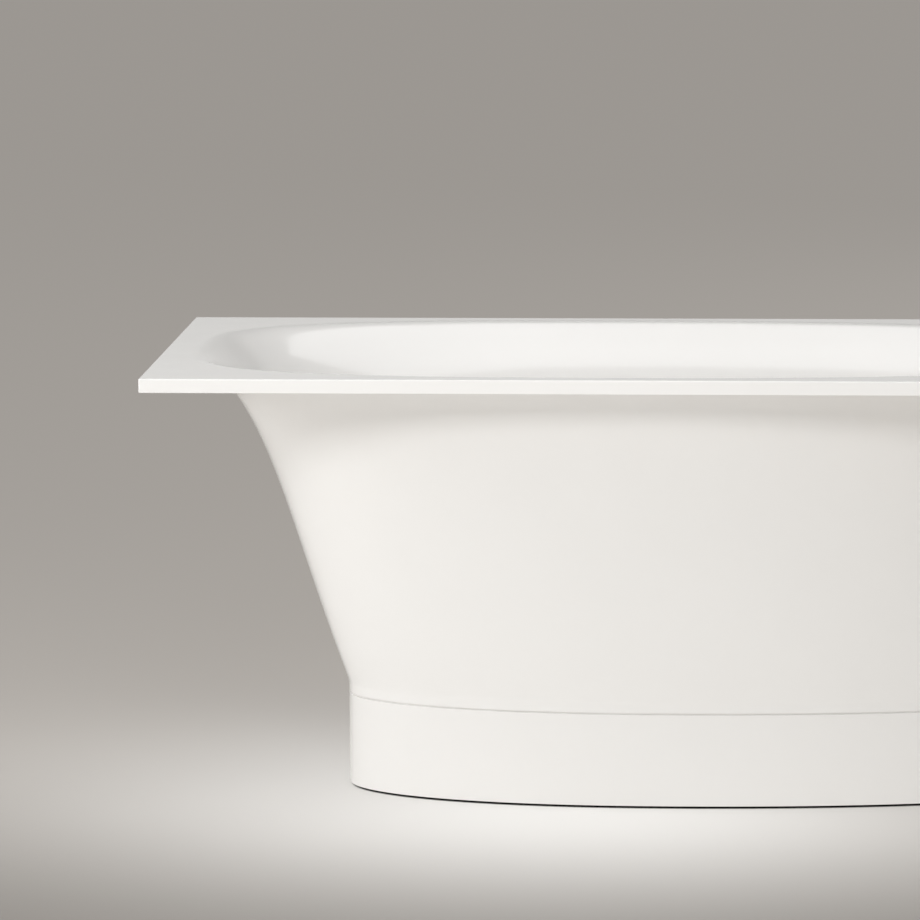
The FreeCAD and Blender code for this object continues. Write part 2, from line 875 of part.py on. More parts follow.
for foot, (x, y) in foot_places.items():
    foot_pad = turned(f"pad_{foot}", [
        ("0", "0"),
        ("pad_radius", "0"),
        ("pad_radius", "pad_edge"),
        ("pad_boss_radius", "pad_edge + pad_crown"),
        ("pad_boss_radius", "pad_height"),
        ("stud_radius + stud_fit", "pad_height"),
        ("stud_radius + stud_fit", "pad_floor"),
        ("0", "pad_floor"),
    ])
    rounded(foot_pad, f"pad_edge_{foot}", is_pad_edge, "pad_rounding")
    foot_pad.Placement = at(x, y)
    piece(f"pad_{foot}", foot_pad)
    stud = turned(f"stud_{foot}", [
        ("0", "0"),
        ("stud_radius", "0"),
        ("stud_radius", collar_low),
        ("collar_radius", collar_low),
        ("collar_radius", f"{collar_low} + collar_height"),
        ("stud_radius", f"{collar_low} + collar_height"),
        ("stud_radius", f"{stud_length} - stud_tip"),
        ("stud_radius - stud_tip", stud_length),
        ("0", stud_length),
    ])
    stud.Placement = at(x, y, size("pad_floor"))
    piece(f"stud_{foot}", stud)
leg_nut = plain_nut("leg_nut", HEX_SIDE_COUNT, "leg_nut_radius", "stud_radius + stud_fit", "leg_nut_height")
for label, level in (
    ("leg_nuts", web_under + size("rail_wall")),
    ("leg_lock_nuts", web_under - size("leg_nut_height")),
):
    grouped(label, leg_nut, [at(x, y, level) for x, y in foot_places.values()])


# Waste: flange, seals and body, all in a frame at the basin floor
def at_waste(z=0):
    """A placement on the waste's axis, from the basin floor."""
    return at(waste_x, 0, floor_level + z)


flange_top_text = "waste_seal_thickness + waste_flange_thickness"
waste_flange = turned("waste_flange", [
    ("sleeve_bore", "-sleeve_length"),
    ("sleeve_radius", "-sleeve_length"),
    ("sleeve_radius", "waste_seal_thickness"),
    ("waste_flange_radius", "waste_seal_thickness"),
    ("waste_flange_radius", f"{flange_top_text} - waste_flange_edge"),
    ("waste_flange_radius - waste_flange_edge", flange_top_text),
    ("seat_radius", flange_top_text),
    ("sleeve_bore", "-waste_flange_thickness"),
])
add_cross(waste_flange, "waste_cross", "cross_lift - sleeve_length", "stem_radius + stem_fit")
waste_flange.Placement = at_waste()
piece("waste_flange", waste_flange)


def washer(label, inner, outer, thickness, placement):
    """A flat ring."""
    ring = turned(label, [(inner, "0"), (outer, "0"), (outer, thickness), (inner, thickness)])
    ring.Placement = placement
    return piece(label, ring)


sleeve_hole = "sleeve_radius + hole_fit"
flange_seal_edge = "waste_flange_radius - waste_flange_edge"
washer("waste_flange_seal", sleeve_hole, flange_seal_edge, "waste_seal_thickness", at_waste())
body_seal_low = -size("shell_wall") - size("body_seal_thickness")
washer("waste_body_seal", sleeve_hole, "body_collar_radius", "body_seal_thickness", at_waste(body_seal_low))

body_inner = "sleeve_radius + sleeve_fit"
waste_body_turned = turned("waste_body_turned", [
    (body_inner, "0"),
    ("body_collar_radius", "0"),
    ("body_collar_radius", "-body_collar_height"),
    ("body_radius", "-body_collar_height"),
    ("body_radius", "-body_depth"),
    ("outlet_radius", "-body_depth"),
    ("outlet_radius", "union_height - body_depth - outlet_drop"),
    ("union_radius", "union_height - body_depth - outlet_drop"),
    ("union_radius", "-body_depth - outlet_drop"),
    ("outlet_bore", "-body_depth - outlet_drop"),
    ("outlet_bore", "body_floor - body_depth"),
    (body_inner, "body_floor - body_depth"),
])
body_top = body_seal_low
waste_body_turned.Placement = at_waste(body_top)
sideways = Rotation(Vector(0, 0, 1), Vector(1, 0, 0))
spigot_level = floor_level + body_top - size("spigot_drop")
inlet_start = waste_x + size("sleeve_radius")
spigot_place = Placement(Vector(inlet_start, 0, spigot_level), sideways)
inlet_end = waste_x + size("body_radius") + size("spigot_length")
spigot_text = "body_radius - sleeve_radius + spigot_length"
spigot = primitive("Part::Cylinder", "waste_spigot", spigot_place, Radius="spigot_radius", Height=spigot_text)
spigot_hole = primitive(
    "Part::Cylinder",
    "waste_spigot_hole",
    Placement(Vector(waste_x, 0, spigot_level), sideways),
    Radius="spigot_bore",
    Height="body_radius + spigot_length + overrun",
)
gland_root = math.sqrt(size("body_radius") ** 2 - size("gland_offset") ** 2)
gland_start = size("sleeve_radius") / 2
gland_place = Placement(Vector(waste_x + gland_start, size("gland_offset"), spigot_level), sideways)
gland_end = waste_x + gland_root + size("gland_length") + size("gland_radius")
gland = primitive("Part::Cylinder", "waste_gland", gland_place, Radius="gland_radius")
gland.Height = gland_end - gland_place.Base.x
well = primitive(
    "Part::Cylinder",
    "waste_well",
    at_waste(body_top - size("body_depth") + size("body_floor")),
    Radius=body_inner,
    Height="body_depth - body_floor",
)

# Lever that lifts the plug, on a pin across the waste body
lever_z = floor_level - size("lever_drop")
lever_x = waste_x + size("lever_arm")
crosswise = Rotation(Vector(0, 0, 1), Vector(0, 1, 0))
pin_hole = primitive(
    "Part::Cylinder",
    "lever_pin_hole",
    Placement(Vector(lever_x, -size("body_radius"), lever_z), crosswise),
    Radius="lever_pin_radius",
    Height="2 * body_radius",
)
waste_body_filled = fuse("waste_body_filled", waste_body_turned, spigot, gland)
piece("waste_body", cut("waste_body", waste_body_filled, well, spigot_hole, pin_hole))
pin_half = math.sqrt(size("body_radius") ** 2 - (size("lever_arm") + size("lever_pin_radius")) ** 2)
lever_pin = primitive(
    "Part::Cylinder",
    "lever_pin",
    Placement(Vector(lever_x, -pin_half, lever_z), crosswise),
    Radius="lever_pin_radius",
)
lever_pin.Height = 2 * pin_half
piece("lever_pin", lever_pin)

lever_dip = math.asin(size("lever_throw") / 2 / size("lever_arm"))
lever_tip_x = lever_x - size("lever_arm") * math.cos(lever_dip)
lever_tip_z = lever_z - size("lever_throw") / 2


def lever_disc(name, x, z, radius):
    """A disc of the lever's thickness, across the waste body."""
    place = Placement(Vector(x, -size("lever_thickness") / 2, z), crosswise)
    return primitive("Part::Cylinder", name, place, Radius=radius, Height="lever_thickness")


arm_turn = Rotation(Vector(0, 1, 0), -math.degrees(lever_dip))
arm_low = Vector(-size("lever_arm"), -size("lever_thickness") / 2, -size("lever_bar_height") / 2)
lever_bar = primitive(
    "Part::Box",
    "lever_bar",
    Placement(Vector(lever_x, 0, lever_z) + arm_turn.multVec(arm_low), arm_turn),
    Length="lever_arm",
    Width="lever_thickness",
    Height="lever_bar_height",
)
lever_blank = fuse(
    "lever_blank",
    lever_bar,
    lever_disc("lever_boss", lever_x, lever_z, "lever_boss"),
    lever_disc("lever_nose", lever_tip_x, lever_tip_z, "lever_tip"),
)
lever_bore = lever_disc("lever_bore", lever_x, lever_z, "lever_pin_radius + lever_pin_fit")
piece("lift_lever", cut("lift_lever", lever_blank, lever_bore))

# Plug, closed on its seat
plug_low = size("waste_seal_thickness") + size("waste_flange_thickness") + size("plug_gap")
plug_cap = turned("plug_cap", [
    ("0", "-plug_hub_length"),
    ("plug_hub_radius", "-plug_hub_length"),
    ("plug_hub_radius", "0"),
    ("plug_radius", "0"),
    ("plug_radius", "plug_edge"),
    ("plug_crown_radius", "plug_crown"),
    ("0", "plug_crown"),
])
rounded(plug_cap, "plug_cap_edges", lambda edge: edge.BoundBox.ZMin > 0, "plug_rounding")
plug_cap.Placement = at_waste(plug_low)
piece("plug_cap", plug_cap)
washer(
    "plug_seal",
    "plug_hub_radius",
    "sleeve_bore - plug_gap",
    "plug_seal_height",
    at_waste(plug_low - size("plug_hub_length")),
)
stem_top = plug_low - size("plug_hub_length")
stem_low = lever_tip_z + size("lever_tip") + size("lever_gap") - floor_level
plug_stem = primitive("Part::Cylinder", "plug_stem", at_waste(stem_low), Radius="stem_radius")
plug_stem.Height = stem_top - stem_low
piece("plug_stem", plug_stem)


# Trap: a bend below the waste and an outlet towards the middle of the tub
def bent_wire(corners, radii):
    """A path of straight runs through the corners, with a tangent arc at each inner corner."""
    edges = []
    start = corners[0]
    for before, corner, after, radius in zip(corners, corners[1:], corners[2:], radii):
        back = (before - corner).normalize()
        ahead = (after - corner).normalize()
        half_turn = (math.pi - back.getAngle(ahead)) / 2
        tangent = radius * math.tan(half_turn)
        middle = (back + ahead).normalize() * (radius / math.cos(half_turn) - radius)
        arc_start = corner + back * tangent
        arc_end = corner + ahead * tangent
        if (arc_start - start).Length > size("stud_fit"):
            edges.append(Part.LineSegment(start, arc_start).toShape())
        edges.append(Part.Arc(arc_start, corner + middle, arc_end).toShape())
        start = arc_end
    edges.append(Part.LineSegment(start, corners[-1]).toShape())
    return Part.Wire(edges)


def rod_along(path, radius):
    """A round rod along a path."""
    edge = path.OrderedEdges[0]
    begin = edge.FirstParameter
    section = Part.makeCircle(radius, edge.valueAt(begin), edge.tangentAt(begin))
    return path.makePipeShell([Part.Wire(section)], True, True)


outlet_low = floor_level + body_top - size("body_depth") - size("outlet_drop")
trap_inlet_top = outlet_low - size("trap_seal_thickness")
trap_low = size("trap_floor_gap") + size("outlet_radius")
trap_out_x = waste_x - 2 * size("trap_turn")
trap_joint = trap_low + size("trap_turn") + size("trap_rise")
bend_path = bent_wire(
    [
        Vector(waste_x, 0, trap_inlet_top),
        Vector(waste_x, 0, trap_low),
        Vector(trap_out_x, 0, trap_low),
        Vector(trap_out_x, 0, trap_joint),
    ],
    [size("trap_turn")] * 2,
)


def union_collar(name, x, low):
    """The flange on a pipe end that a union nut draws up."""
    return primitive("Part::Cylinder", name, at(x, 0, low), Radius="union_radius", Height="union_height")


trap_bend_filled = fuse(
    "trap_bend_filled",
    shaped("trap_bend_rod", rod_along(bend_path, size("outlet_radius"))),
    union_collar("trap_inlet_collar", waste_x, trap_inlet_top - size("union_height")),
    union_collar("trap_rise_collar", trap_out_x, trap_joint - size("union_height")),
)
trap_bend_bore = shaped("trap_bend_bore", rod_along(bend_path, size("trap_bore")))
piece("trap_bend", cut("trap_bend", trap_bend_filled, trap_bend_bore))
washer("trap_inlet_seal", "trap_bore", "union_radius", "trap_seal_thickness", at(waste_x, 0, trap_inlet_top))
washer("trap_outlet_seal", "trap_bore", "union_radius", "trap_seal_thickness", at(trap_out_x, 0, trap_joint))

outlet_start = trap_joint + size("trap_seal_thickness")
outlet_level = outlet_start + size("union_height") + size("trap_nut_lip") + size("trap_outlet_turn")
trap_end_x = trap_out_x - size("trap_outlet_turn") - size("trap_outlet_length")
outlet_path = bent_wire(
    [
        Vector(trap_out_x, 0, outlet_start),
        Vector(trap_out_x, 0, outlet_level),
        Vector(trap_end_x, 0, outlet_level),
    ],
    [size("trap_outlet_turn")],
)
trap_outlet_filled = fuse(
    "trap_outlet_filled",
    shaped("trap_outlet_rod", rod_along(outlet_path, size("outlet_radius"))),
    union_collar("trap_outlet_collar", trap_out_x, outlet_start),
)
trap_outlet_bore = shaped("trap_outlet_bore", rod_along(outlet_path, size("trap_bore")))
piece("trap_outlet", cut("trap_outlet", trap_outlet_filled, trap_outlet_bore))


def union_nut(label, placement):
    """An eight-sided nut with a lip behind the lower flange."""
    sizes = {"Circumradius": "trap_nut_radius", "Height": "trap_nut_height"}
    blank = primitive("Part::Prism", label + "_blank", placement, **sizes)
    blank.Polygon = UNION_SIDE_COUNT
    hollow = turned(label + "_hollow", [
        ("0", "-overrun"),
        ("outlet_radius + trap_fit", "-overrun"),
        ("outlet_radius + trap_fit", "trap_nut_lip"),
        ("union_radius + trap_fit", "trap_nut_lip"),
        ("union_radius + trap_fit", "trap_nut_height + overrun"),
        ("0", "trap_nut_height + overrun"),
    ])
    hollow.Placement = placement
    return piece(label, cut(label, blank, hollow))


nut_drop = size("union_height") + size("trap_nut_lip")
union_nut("trap_inlet_nut", at(waste_x, 0, trap_inlet_top - nut_drop))
union_nut("trap_outlet_nut", at(trap_out_x, 0, trap_joint - nut_drop))

# Overflow, in its own frame on the wall
overflow_ring = turned("overflow_ring", [
    ("sleeve_bore", "-pad_face - overflow_sleeve_length"),
    ("sleeve_radius", "-pad_face - overflow_sleeve_length"),
    ("sleeve_radius", "0"),
    ("overflow_flange_radius", "0"),
    ("overflow_flange_radius", "overflow_flange_thickness - waste_flange_edge"),
    ("overflow_flange_radius - waste_flange_edge", "overflow_flange_thickness"),
    ("sleeve_bore", "overflow_flange_thickness"),
])
cross_place = "overflow_flange_thickness - cross_height - cross_lift"
add_cross(overflow_ring, "overflow_cross", cross_place, "spindle_radius + spindle_fit")
overflow_ring.Placement = in_overflow(size("pad_face"))
piece("overflow_ring", overflow_ring)
seal_z = -size("pad_back") - size("overflow_seal_thickness")
washer("overflow_seal", sleeve_hole, "elbow_collar_radius", "overflow_seal_thickness", in_overflow(seal_z))
elbow_turned = turned("elbow_turned", [
    ("0", "-elbow_depth"),
    ("elbow_radius", "-elbow_depth"),
    ("elbow_radius", "-elbow_collar_height"),
    ("elbow_collar_radius", "-elbow_collar_height"),
    ("elbow_collar_radius", "0"),
    ("sleeve_radius + sleeve_fit", "0"),
    ("sleeve_radius + sleeve_fit", "elbow_back - elbow_depth"),
    ("0", "elbow_back - elbow_depth"),
])
elbow_turned.Placement = in_overflow(seal_z)
downhill = Rotation(Vector(0, 0, 1), Vector(-1, 0, 0))
spigot_z = seal_z - size("elbow_collar_height") - size("spigot_radius") - size("overflow_seal_thickness") / 2
elbow_spigot = primitive(
    "Part::Cylinder",
    "elbow_spigot",
    overflow_frame.multiply(Placement(Vector(-size("sleeve_radius"), 0, spigot_z), downhill)),
    Radius="spigot_radius",
    Height="elbow_radius - sleeve_radius + spigot_length",
)
elbow_spigot_hole = primitive(
    "Part::Cylinder",
    "elbow_spigot_hole",
    overflow_frame.multiply(Placement(Vector(0, 0, spigot_z), downhill)),
    Radius="spigot_bore",
    Height="elbow_radius + spigot_length + overrun",
)
elbow_gland_place = Placement(Vector(-gland_start, size("gland_offset"), spigot_z), downhill)
elbow_gland = primitive(
    "Part::Cylinder",
    "elbow_gland",
    overflow_frame.multiply(elbow_gland_place),
    Radius="gland_radius",
)
elbow_gland.Height = gland_end - gland_place.Base.x
elbow_well = primitive(
    "Part::Cylinder",
    "elbow_well",
    in_overflow(seal_z - size("elbow_depth") + size("elbow_back")),
    Radius="sleeve_radius + sleeve_fit",
    Height="elbow_depth - elbow_back",
)
elbow_filled = fuse("elbow_filled", elbow_turned, elbow_spigot, elbow_gland)
piece("overflow_elbow", cut("overflow_elbow", elbow_filled, elbow_well, elbow_spigot_hole))

# Knob and spindle
ring_face = size("pad_face") + size("overflow_flange_thickness")
overflow_knob = turned("overflow_knob", [
    ("0", "spindle_seat"),
    ("spindle_radius", "spindle_seat"),
    ("spindle_radius", "0"),
    ("knob_hub_radius", "0"),
    ("knob_hub_radius", "knob_stand"),
    ("knob_radius", "knob_stand"),
    ("knob_radius", "knob_stand + knob_edge"),
    ("knob_crown_radius", "knob_stand + knob_edge + knob_crown"),
    ("0", "knob_stand + knob_edge + knob_crown"),
])
grip_corners = [
    ("-grip_width / 2", "-grip_length / 2"),
    ("grip_width / 2", "-grip_length / 2"),
    ("grip_width / 2", "grip_length / 2"),
    ("-grip_width / 2", "grip_length / 2"),
]
grip_plan = polygon(overflow_knob, "grip_plan", "XY_Plane", grip_corners, "knob_stand + knob_edge")
pad(overflow_knob, "grip", grip_plan, "knob_crown + grip_height")
rounded(overflow_knob, "knob_edges", lambda edge: edge.BoundBox.ZMax > size("knob_stand"), "knob_rounding")
overflow_knob.Placement = in_overflow(ring_face + size("knob_gap"))
piece("overflow_knob", overflow_knob)
drum_low = -size("pad_back") - size("drum_clearance") - size("drum_height")
spindle_top = ring_face + size("knob_gap") + size("spindle_seat")
drum_place = in_overflow(drum_low)
drum = primitive("Part::Cylinder", "cable_drum", drum_place, Radius="drum_radius", Height="drum_height")
spindle_rod = primitive("Part::Cylinder", "spindle_rod", drum_place, Radius="spindle_radius")
spindle_rod.Height = spindle_top - drum_low
piece("knob_spindle", fuse("knob_spindle", spindle_rod, drum))

# Hose and cable, held between basin and skirt from the overflow to the waste
hose_reach = size("elbow_radius") + size("spigot_length") - size("hose_overlap")
hose_top = overflow_frame.multVec(Vector(-hose_reach, 0, spigot_z))
downslope = overflow_frame.Rotation.multVec(Vector(-1, 0, 0))


def gap_point(share, y):
    """The middle of the space between basin and skirt at the drain end, at a share of the height."""
    z = floor_level + share * (overflow_point.z - floor_level)
    inner = tip_point(bowl_surface, z)[0]
    outer = tip_point(skirt_inner_surface, z)[0]
    return Vector((inner.x + outer.x) / 2, y, z)


def soft_radii(corners):
    """Bend radii as large as the runs beside each corner allow."""
    radii = []
    for before, corner, after in zip(corners, corners[1:], corners[2:]):
        half_turn = (math.pi - (before - corner).getAngle(after - corner)) / 2
        shorter = min((before - corner).Length, (after - corner).Length)
        radii.append(HOSE_BEND_SHARE * shorter / math.tan(half_turn))
    return radii


def drop_path(top, bottom, y):
    """A path from the overflow down the gap and in to the waste, straight at both ends."""
    corners = [top, top + downslope * (size("hose_overlap") + size("hose_end_run"))]
    corners += [gap_point(share, y) for share in HOSE_SHARES]
    corners += [bottom + Vector(size("hose_overlap") + size("hose_end_run"), 0, 0), bottom]
    return bent_wire(corners, soft_radii(corners))


hose_bottom = Vector(inlet_end - size("hose_overlap"), 0, spigot_level)
hose_path = drop_path(hose_top, hose_bottom, 0)
hose_filled = shaped("hose_filled", rod_along(hose_path, size("hose_radius")))
hose_bore = shaped("hose_bore", rod_along(hose_path, size("spigot_radius") + size("hose_fit")))
piece("overflow_hose", cut("overflow_hose", hose_filled, hose_bore))
clamp = turned("hose_clamp", [
    ("hose_radius", "0"),
    ("hose_radius + clamp_wall", "0"),
    ("hose_radius + clamp_wall", "clamp_width"),
    ("hose_radius", "clamp_width"),
])
clamp_inset = (size("hose_overlap") - size("clamp_width")) / 2
clamp_places = [
    Placement(hose_top + downslope * clamp_inset, Rotation(Vector(0, 0, 1), downslope)),
    Placement(hose_bottom + Vector(clamp_inset, 0, 0), sideways),
]
grouped("hose_clamps", clamp, clamp_places)
gland_reach = gland_end - waste_x
cable_top = overflow_frame.multVec(Vector(-gland_reach, size("gland_offset"), spigot_z))
cable_bottom = Vector(gland_end, size("gland_offset"), spigot_level)
cable_path = drop_path(cable_top, cable_bottom, size("gland_offset"))
piece("pull_cable", shaped("pull_cable", rod_along(cable_path, size("cable_radius"))))

# Check every object, then write each sub-part
doc.recompute()
for item in doc.Objects:
    if {"Invalid", "Error"} & set(item.State):
        raise RuntimeError(f"{item.Label} failed: {item.State}")
for item in pieces:
    if item.Shape.isNull() or not item.Shape.isValid() or not item.Shape.Solids:
        raise RuntimeError(f"{item.Label} has no valid solid")
for item in pieces:
    item.Shape.exportStep(f"parts/{item.Label}.step")
print(len(pieces), "sub-parts")
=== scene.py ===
"""Looks of the bathtub: smooth mouldings, finishes, floor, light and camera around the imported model.

Metres. The origin is on the floor under the middle of the rim, +X runs to the drain end,
-Y is the front and +Z is up.
"""
import json
import math

import bmesh
import bpy
import numpy as np
from mathutils import Matrix, Vector


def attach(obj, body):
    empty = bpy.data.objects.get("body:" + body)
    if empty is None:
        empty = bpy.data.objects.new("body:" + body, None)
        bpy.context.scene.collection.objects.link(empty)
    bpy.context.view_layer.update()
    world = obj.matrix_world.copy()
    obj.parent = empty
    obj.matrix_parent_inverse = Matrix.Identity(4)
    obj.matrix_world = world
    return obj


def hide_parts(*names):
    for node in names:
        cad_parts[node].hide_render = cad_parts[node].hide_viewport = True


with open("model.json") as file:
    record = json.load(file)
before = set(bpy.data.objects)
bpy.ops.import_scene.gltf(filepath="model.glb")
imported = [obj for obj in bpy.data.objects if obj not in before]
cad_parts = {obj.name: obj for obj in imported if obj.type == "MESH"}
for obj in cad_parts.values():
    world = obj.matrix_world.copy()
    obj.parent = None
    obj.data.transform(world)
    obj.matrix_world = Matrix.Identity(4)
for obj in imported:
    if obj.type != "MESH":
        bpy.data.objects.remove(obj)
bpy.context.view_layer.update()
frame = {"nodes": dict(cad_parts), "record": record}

# Points and steps of the meshes
RING_POINTS = 256
OUTLINE_POINTS = 32
INSIDE_STEPS = 97
OUTSIDE_STEPS = 49
SKIRT_STEPS = 145
SKIRT_INSIDE_STEPS = 61
PLINTH_STEPS = 8
ROUNDING_STEPS = 3
RIM_ROUNDING_STEPS = 5
RIM_TOP_SHARES = (0.33, 0.67)
TURNED_SEGMENTS = 96
SHARP_ANGLE = math.radians(34)

# Sizes of the mouldings
WIDEST_X = -0.115
RIM_HALF_LENGTH = 0.85
RIM_HALF_WIDTH = 0.375
RIM_TOP = 0.658
RIM_UNDER = 0.638
SHELL_WALL = 0.005
PLATE_UNDER = RIM_TOP - SHELL_WALL
RIM_ROUNDING = 0.002
RIM_CORNER = 0.003
UNDER_ROUNDING = 0.0006
PLATE_CORNER = 0.0003
BASIN_FLOOR = 0.223
WASTE_X = 0.362
HOLE_RADIUS = 0.0252
SKIRT_WALL = 0.004
SKIRT_BOTTOM = 0.142
BAND_TOP = 0.156
PLINTH_TOP = 0.14
PLINTH_BOTTOM = 0.004
PLINTH_WALL = 0.004
FLANGE_WIDTH = 0.018
FLANGE_THICKNESS = 0.004
SEAM_ROUNDING = 0.0008
# Inset of the middle point of a rounding that is made of two flats, as a share of its radius
FLAT_SHARE = 0.3

# Overflow on the drain end's wall: its middle and the wall's normal into the basin
OVERFLOW_POINT = Vector((0.6426379, 0.0, 0.58))
OVERFLOW_NORMAL = Vector((-0.8332325, 0.0, 0.5529228))
OVERFLOW_PAD_RADIUS = 0.038
OVERFLOW_PAD_FACE = 0.0075
OVERFLOW_PAD_BACK = -0.0085
OVERFLOW_PAD_EDGE = 0.0012
HOLE_TOOL_REACH = 0.02

# Corners of the rim: the ring's point at the middle of each, its side in X and Y, its first angle
RIM_CORNERS = ((26, 1, 1, 0), (96, -1, 1, 90), (160, -1, -1, 180), (230, 1, -1, 270))
CORNER_REACH = 2
CORNER_TURN = 90 / (2 * CORNER_REACH)

# Rows that shape the basin: height, spread from foot to lip, outward and downward lie of the wall
BASIN_ROWS = (
    (1.0, 1.0, 0.0, 1.0),
    (1.0, 0.925, 0.0, 1.0),
    (0.963, 0.83, 0.55, 0.85),
    (0.862, 0.612, 0.85, 0.55),
    (0.655, 0.433, 0.92, 0.40),
    (0.425, 0.258, 0.95, 0.32),
    (0.195, 0.117, 0.95, 0.32),
    (0.0, 0.0, 0.75, 1.0),
)
# Rows that shape the skirt: height above the band, and spread from plinth to rim
SKIRT_ROWS = (
    (1.0, 1.0),
    (0.95, 0.791),
    (0.87, 0.674),
    (0.74, 0.537),
    (0.56, 0.398),
    (0.37, 0.269),
    (0.19, 0.144),
    (0.066, 0.050),
    (0.012, 0.006),
)
BAND_ROWS = (1.0, 0.8, 0.0)

# Egg outlines: reach to the head, reach to the drain, half width, bluntness of the head
LIP = np.array((0.691, 0.861, 0.347, 1.7))
PLINTH = np.array((0.468, 0.645, 0.179, 1.1))
BASIN_FOOT = np.array((0.475, 0.609, 0.180, 1.25))
FLOOR_EDGE = np.array((0.387, 0.549, 0.130, 1.25))
SKIRT_TOP = np.array((0.696, 0.907, 0.352, 1.7))


def grown(outline, margin):
    """The outline moved outwards by a margin."""
    return outline + np.array((margin, margin, margin, 0.0))


def egg_ring(outline, z):
    """Points of the closed cubic spline through an egg outline at a height."""
    head, drain, half, blunt = outline
    angle = math.tau * np.arange(OUTLINE_POINTS) / OUTLINE_POINTS
    along = np.cos(angle)
    across = np.sin(angle)
    reach = np.where(along > 0, drain, head)
    bend = np.where(along > 0, 1.0, 1.0 / blunt)
    x = WIDEST_X + np.sign(along) * reach * np.abs(along) ** bend
    y = np.sign(across) * half * np.abs(across) ** bend
    pull = (4 + 2 * np.cos(angle)) / 6
    poles = np.fft.ifft(np.fft.fft(np.stack((x, y)), axis=1) / pull, axis=1).real
    place = np.arange(RING_POINTS) * OUTLINE_POINTS / RING_POINTS
    span = place.astype(int)
    t = place - span
    weights = (
        (1 - t) ** 3 / 6,
        (3 * t ** 3 - 6 * t ** 2 + 4) / 6,
        (-3 * t ** 3 + 3 * t ** 2 + 3 * t + 1) / 6,
        t ** 3 / 6,
    )
    flat = sum(w * poles[:, (span + step - 1) % OUTLINE_POINTS] for step, w in enumerate(weights))
    return np.column_stack((flat[0], flat[1], np.full(RING_POINTS, z)))


def row_weights(count, steps):
    """Weight of each of a clamped cubic's rows at even steps from the first row to the last."""
    spans = count - 3
    knots = np.concatenate((np.zeros(3), np.arange(spans + 1), np.full(3, spans)))
    place = np.linspace(0, spans, steps)[:, None]
    weights = ((knots[:-1] <= place) & (place < knots[1:])).astype(float)
    for degree in range(1, 4):
        rise = knots[degree:-1] - knots[:-degree - 1]
        fall = knots[degree + 1:] - knots[1:-degree]
        up = np.divide(place - knots[:-degree - 1], rise, out=np.zeros((steps, len(rise))), where=rise > 0)
        down = np.divide(knots[degree + 1:] - place, fall, out=np.zeros((steps, len(fall))), where=fall > 0)
        weights = up * weights[:, :-1] + down * weights[:, 1:]
    weights[-1] = 0.0
    weights[-1, -1] = 1.0
    return weights


def egg_side(rows, steps):
    """Rings of the smooth side surface that rows of outline and height shape from top to bottom."""
    rings = np.array([egg_ring(outline, z) for outline, z in rows])
    return list(np.einsum("sr,rpc->spc", row_weights(len(rows), steps), rings))


def basin_side(wall, steps):
    """Rings of the basin's inside from lip to floor, or of its outside where a wall is given."""
    rows = []
    for height, spread, outward, downward in BASIN_ROWS:
        outline = BASIN_FOOT + (LIP - BASIN_FOOT) * spread
        z = BASIN_FLOOR + height * (RIM_TOP - BASIN_FLOOR) - wall * downward
        rows.append((grown(outline, wall * outward), z))
    rows.append((FLOOR_EDGE, BASIN_FLOOR - wall))
    return egg_side(rows, steps)


def skirt_side(margin, bottom, steps):
    """Rings of the skirt's side from rim to band, moved outwards by a margin."""
    rows = []
    for height, spread in SKIRT_ROWS:
        outline = PLINTH + (SKIRT_TOP - PLINTH) * spread
        rows.append((grown(outline, margin), BAND_TOP + height * (PLATE_UNDER - BAND_TOP)))
    foot = grown(PLINTH, margin)
    rows += [(foot, bottom + share * (BAND_TOP - bottom)) for share in BAND_ROWS]
    return egg_side(rows, steps)


def rim_ring(inset, corner, z):
    """A rectangle with round corners inside the rim's edge, its points matched to an egg ring's."""
    reach_x = RIM_HALF_LENGTH - inset - corner
    reach_y = RIM_HALF_WIDTH - inset - corner
    quarter = RING_POINTS // 4
    marks = [
        (0, reach_x + corner, 0.0),
        (quarter, WIDEST_X, reach_y + corner),
        (2 * quarter, -reach_x - corner, 0.0),
        (3 * quarter, WIDEST_X, -reach_y - corner),
    ]
    for index, side_x, side_y, start in RIM_CORNERS:
        for step in range(-CORNER_REACH, CORNER_REACH + 1):
            turn = math.radians(start + CORNER_TURN * (step + CORNER_REACH))
            x = side_x * reach_x + corner * math.cos(turn)
            y = side_y * reach_y + corner * math.sin(turn)
            marks.append((index + step, x, y))
    marks.sort()
    index, x, y = np.array(marks).T
    points = np.arange(RING_POINTS)
    ring_x = np.interp(points, index, x, period=RING_POINTS)
    ring_y = np.interp(points, index, y, period=RING_POINTS)
    return np.column_stack((ring_x, ring_y, np.full(RING_POINTS, z)))


def round_ring(x, radius, z):
    """A circle about an upright axis."""
    turn = math.tau * np.arange(RING_POINTS) / RING_POINTS
    return np.column_stack((x + radius * np.cos(turn), radius * np.sin(turn), np.full(RING_POINTS, z)))


def new_piece(name, mesh, material):
    """A mesh object in the scene with one material."""
    item = bpy.data.objects.new(name, mesh)
    bpy.context.scene.collection.objects.link(item)
    mesh.materials.append(material)
    return item


def ring_stack(name, rings):
    """A closed mesh through rings of equal count, the last ring joined to the first."""
    count = len(rings)
    points = np.concatenate(rings)
    level = np.arange(count)[:, None]
    place = np.arange(RING_POINTS)[None, :]
    here = level * RING_POINTS + place
    beside = level * RING_POINTS + (place + 1) % RING_POINTS
    above = (level + 1) % count * RING_POINTS + place
    across = (level + 1) % count * RING_POINTS + (place + 1) % RING_POINTS
    faces = np.stack((here, beside, across, above), axis=2).reshape(-1, 4)
    mesh = bpy.data.meshes.new(name)
    mesh.from_pydata(points.tolist(), [], faces.tolist())
    work = bmesh.new()
    work.from_mesh(mesh)
    bmesh.ops.recalc_face_normals(work, faces=work.faces)
    work.to_mesh(mesh)
    work.free()
    return mesh


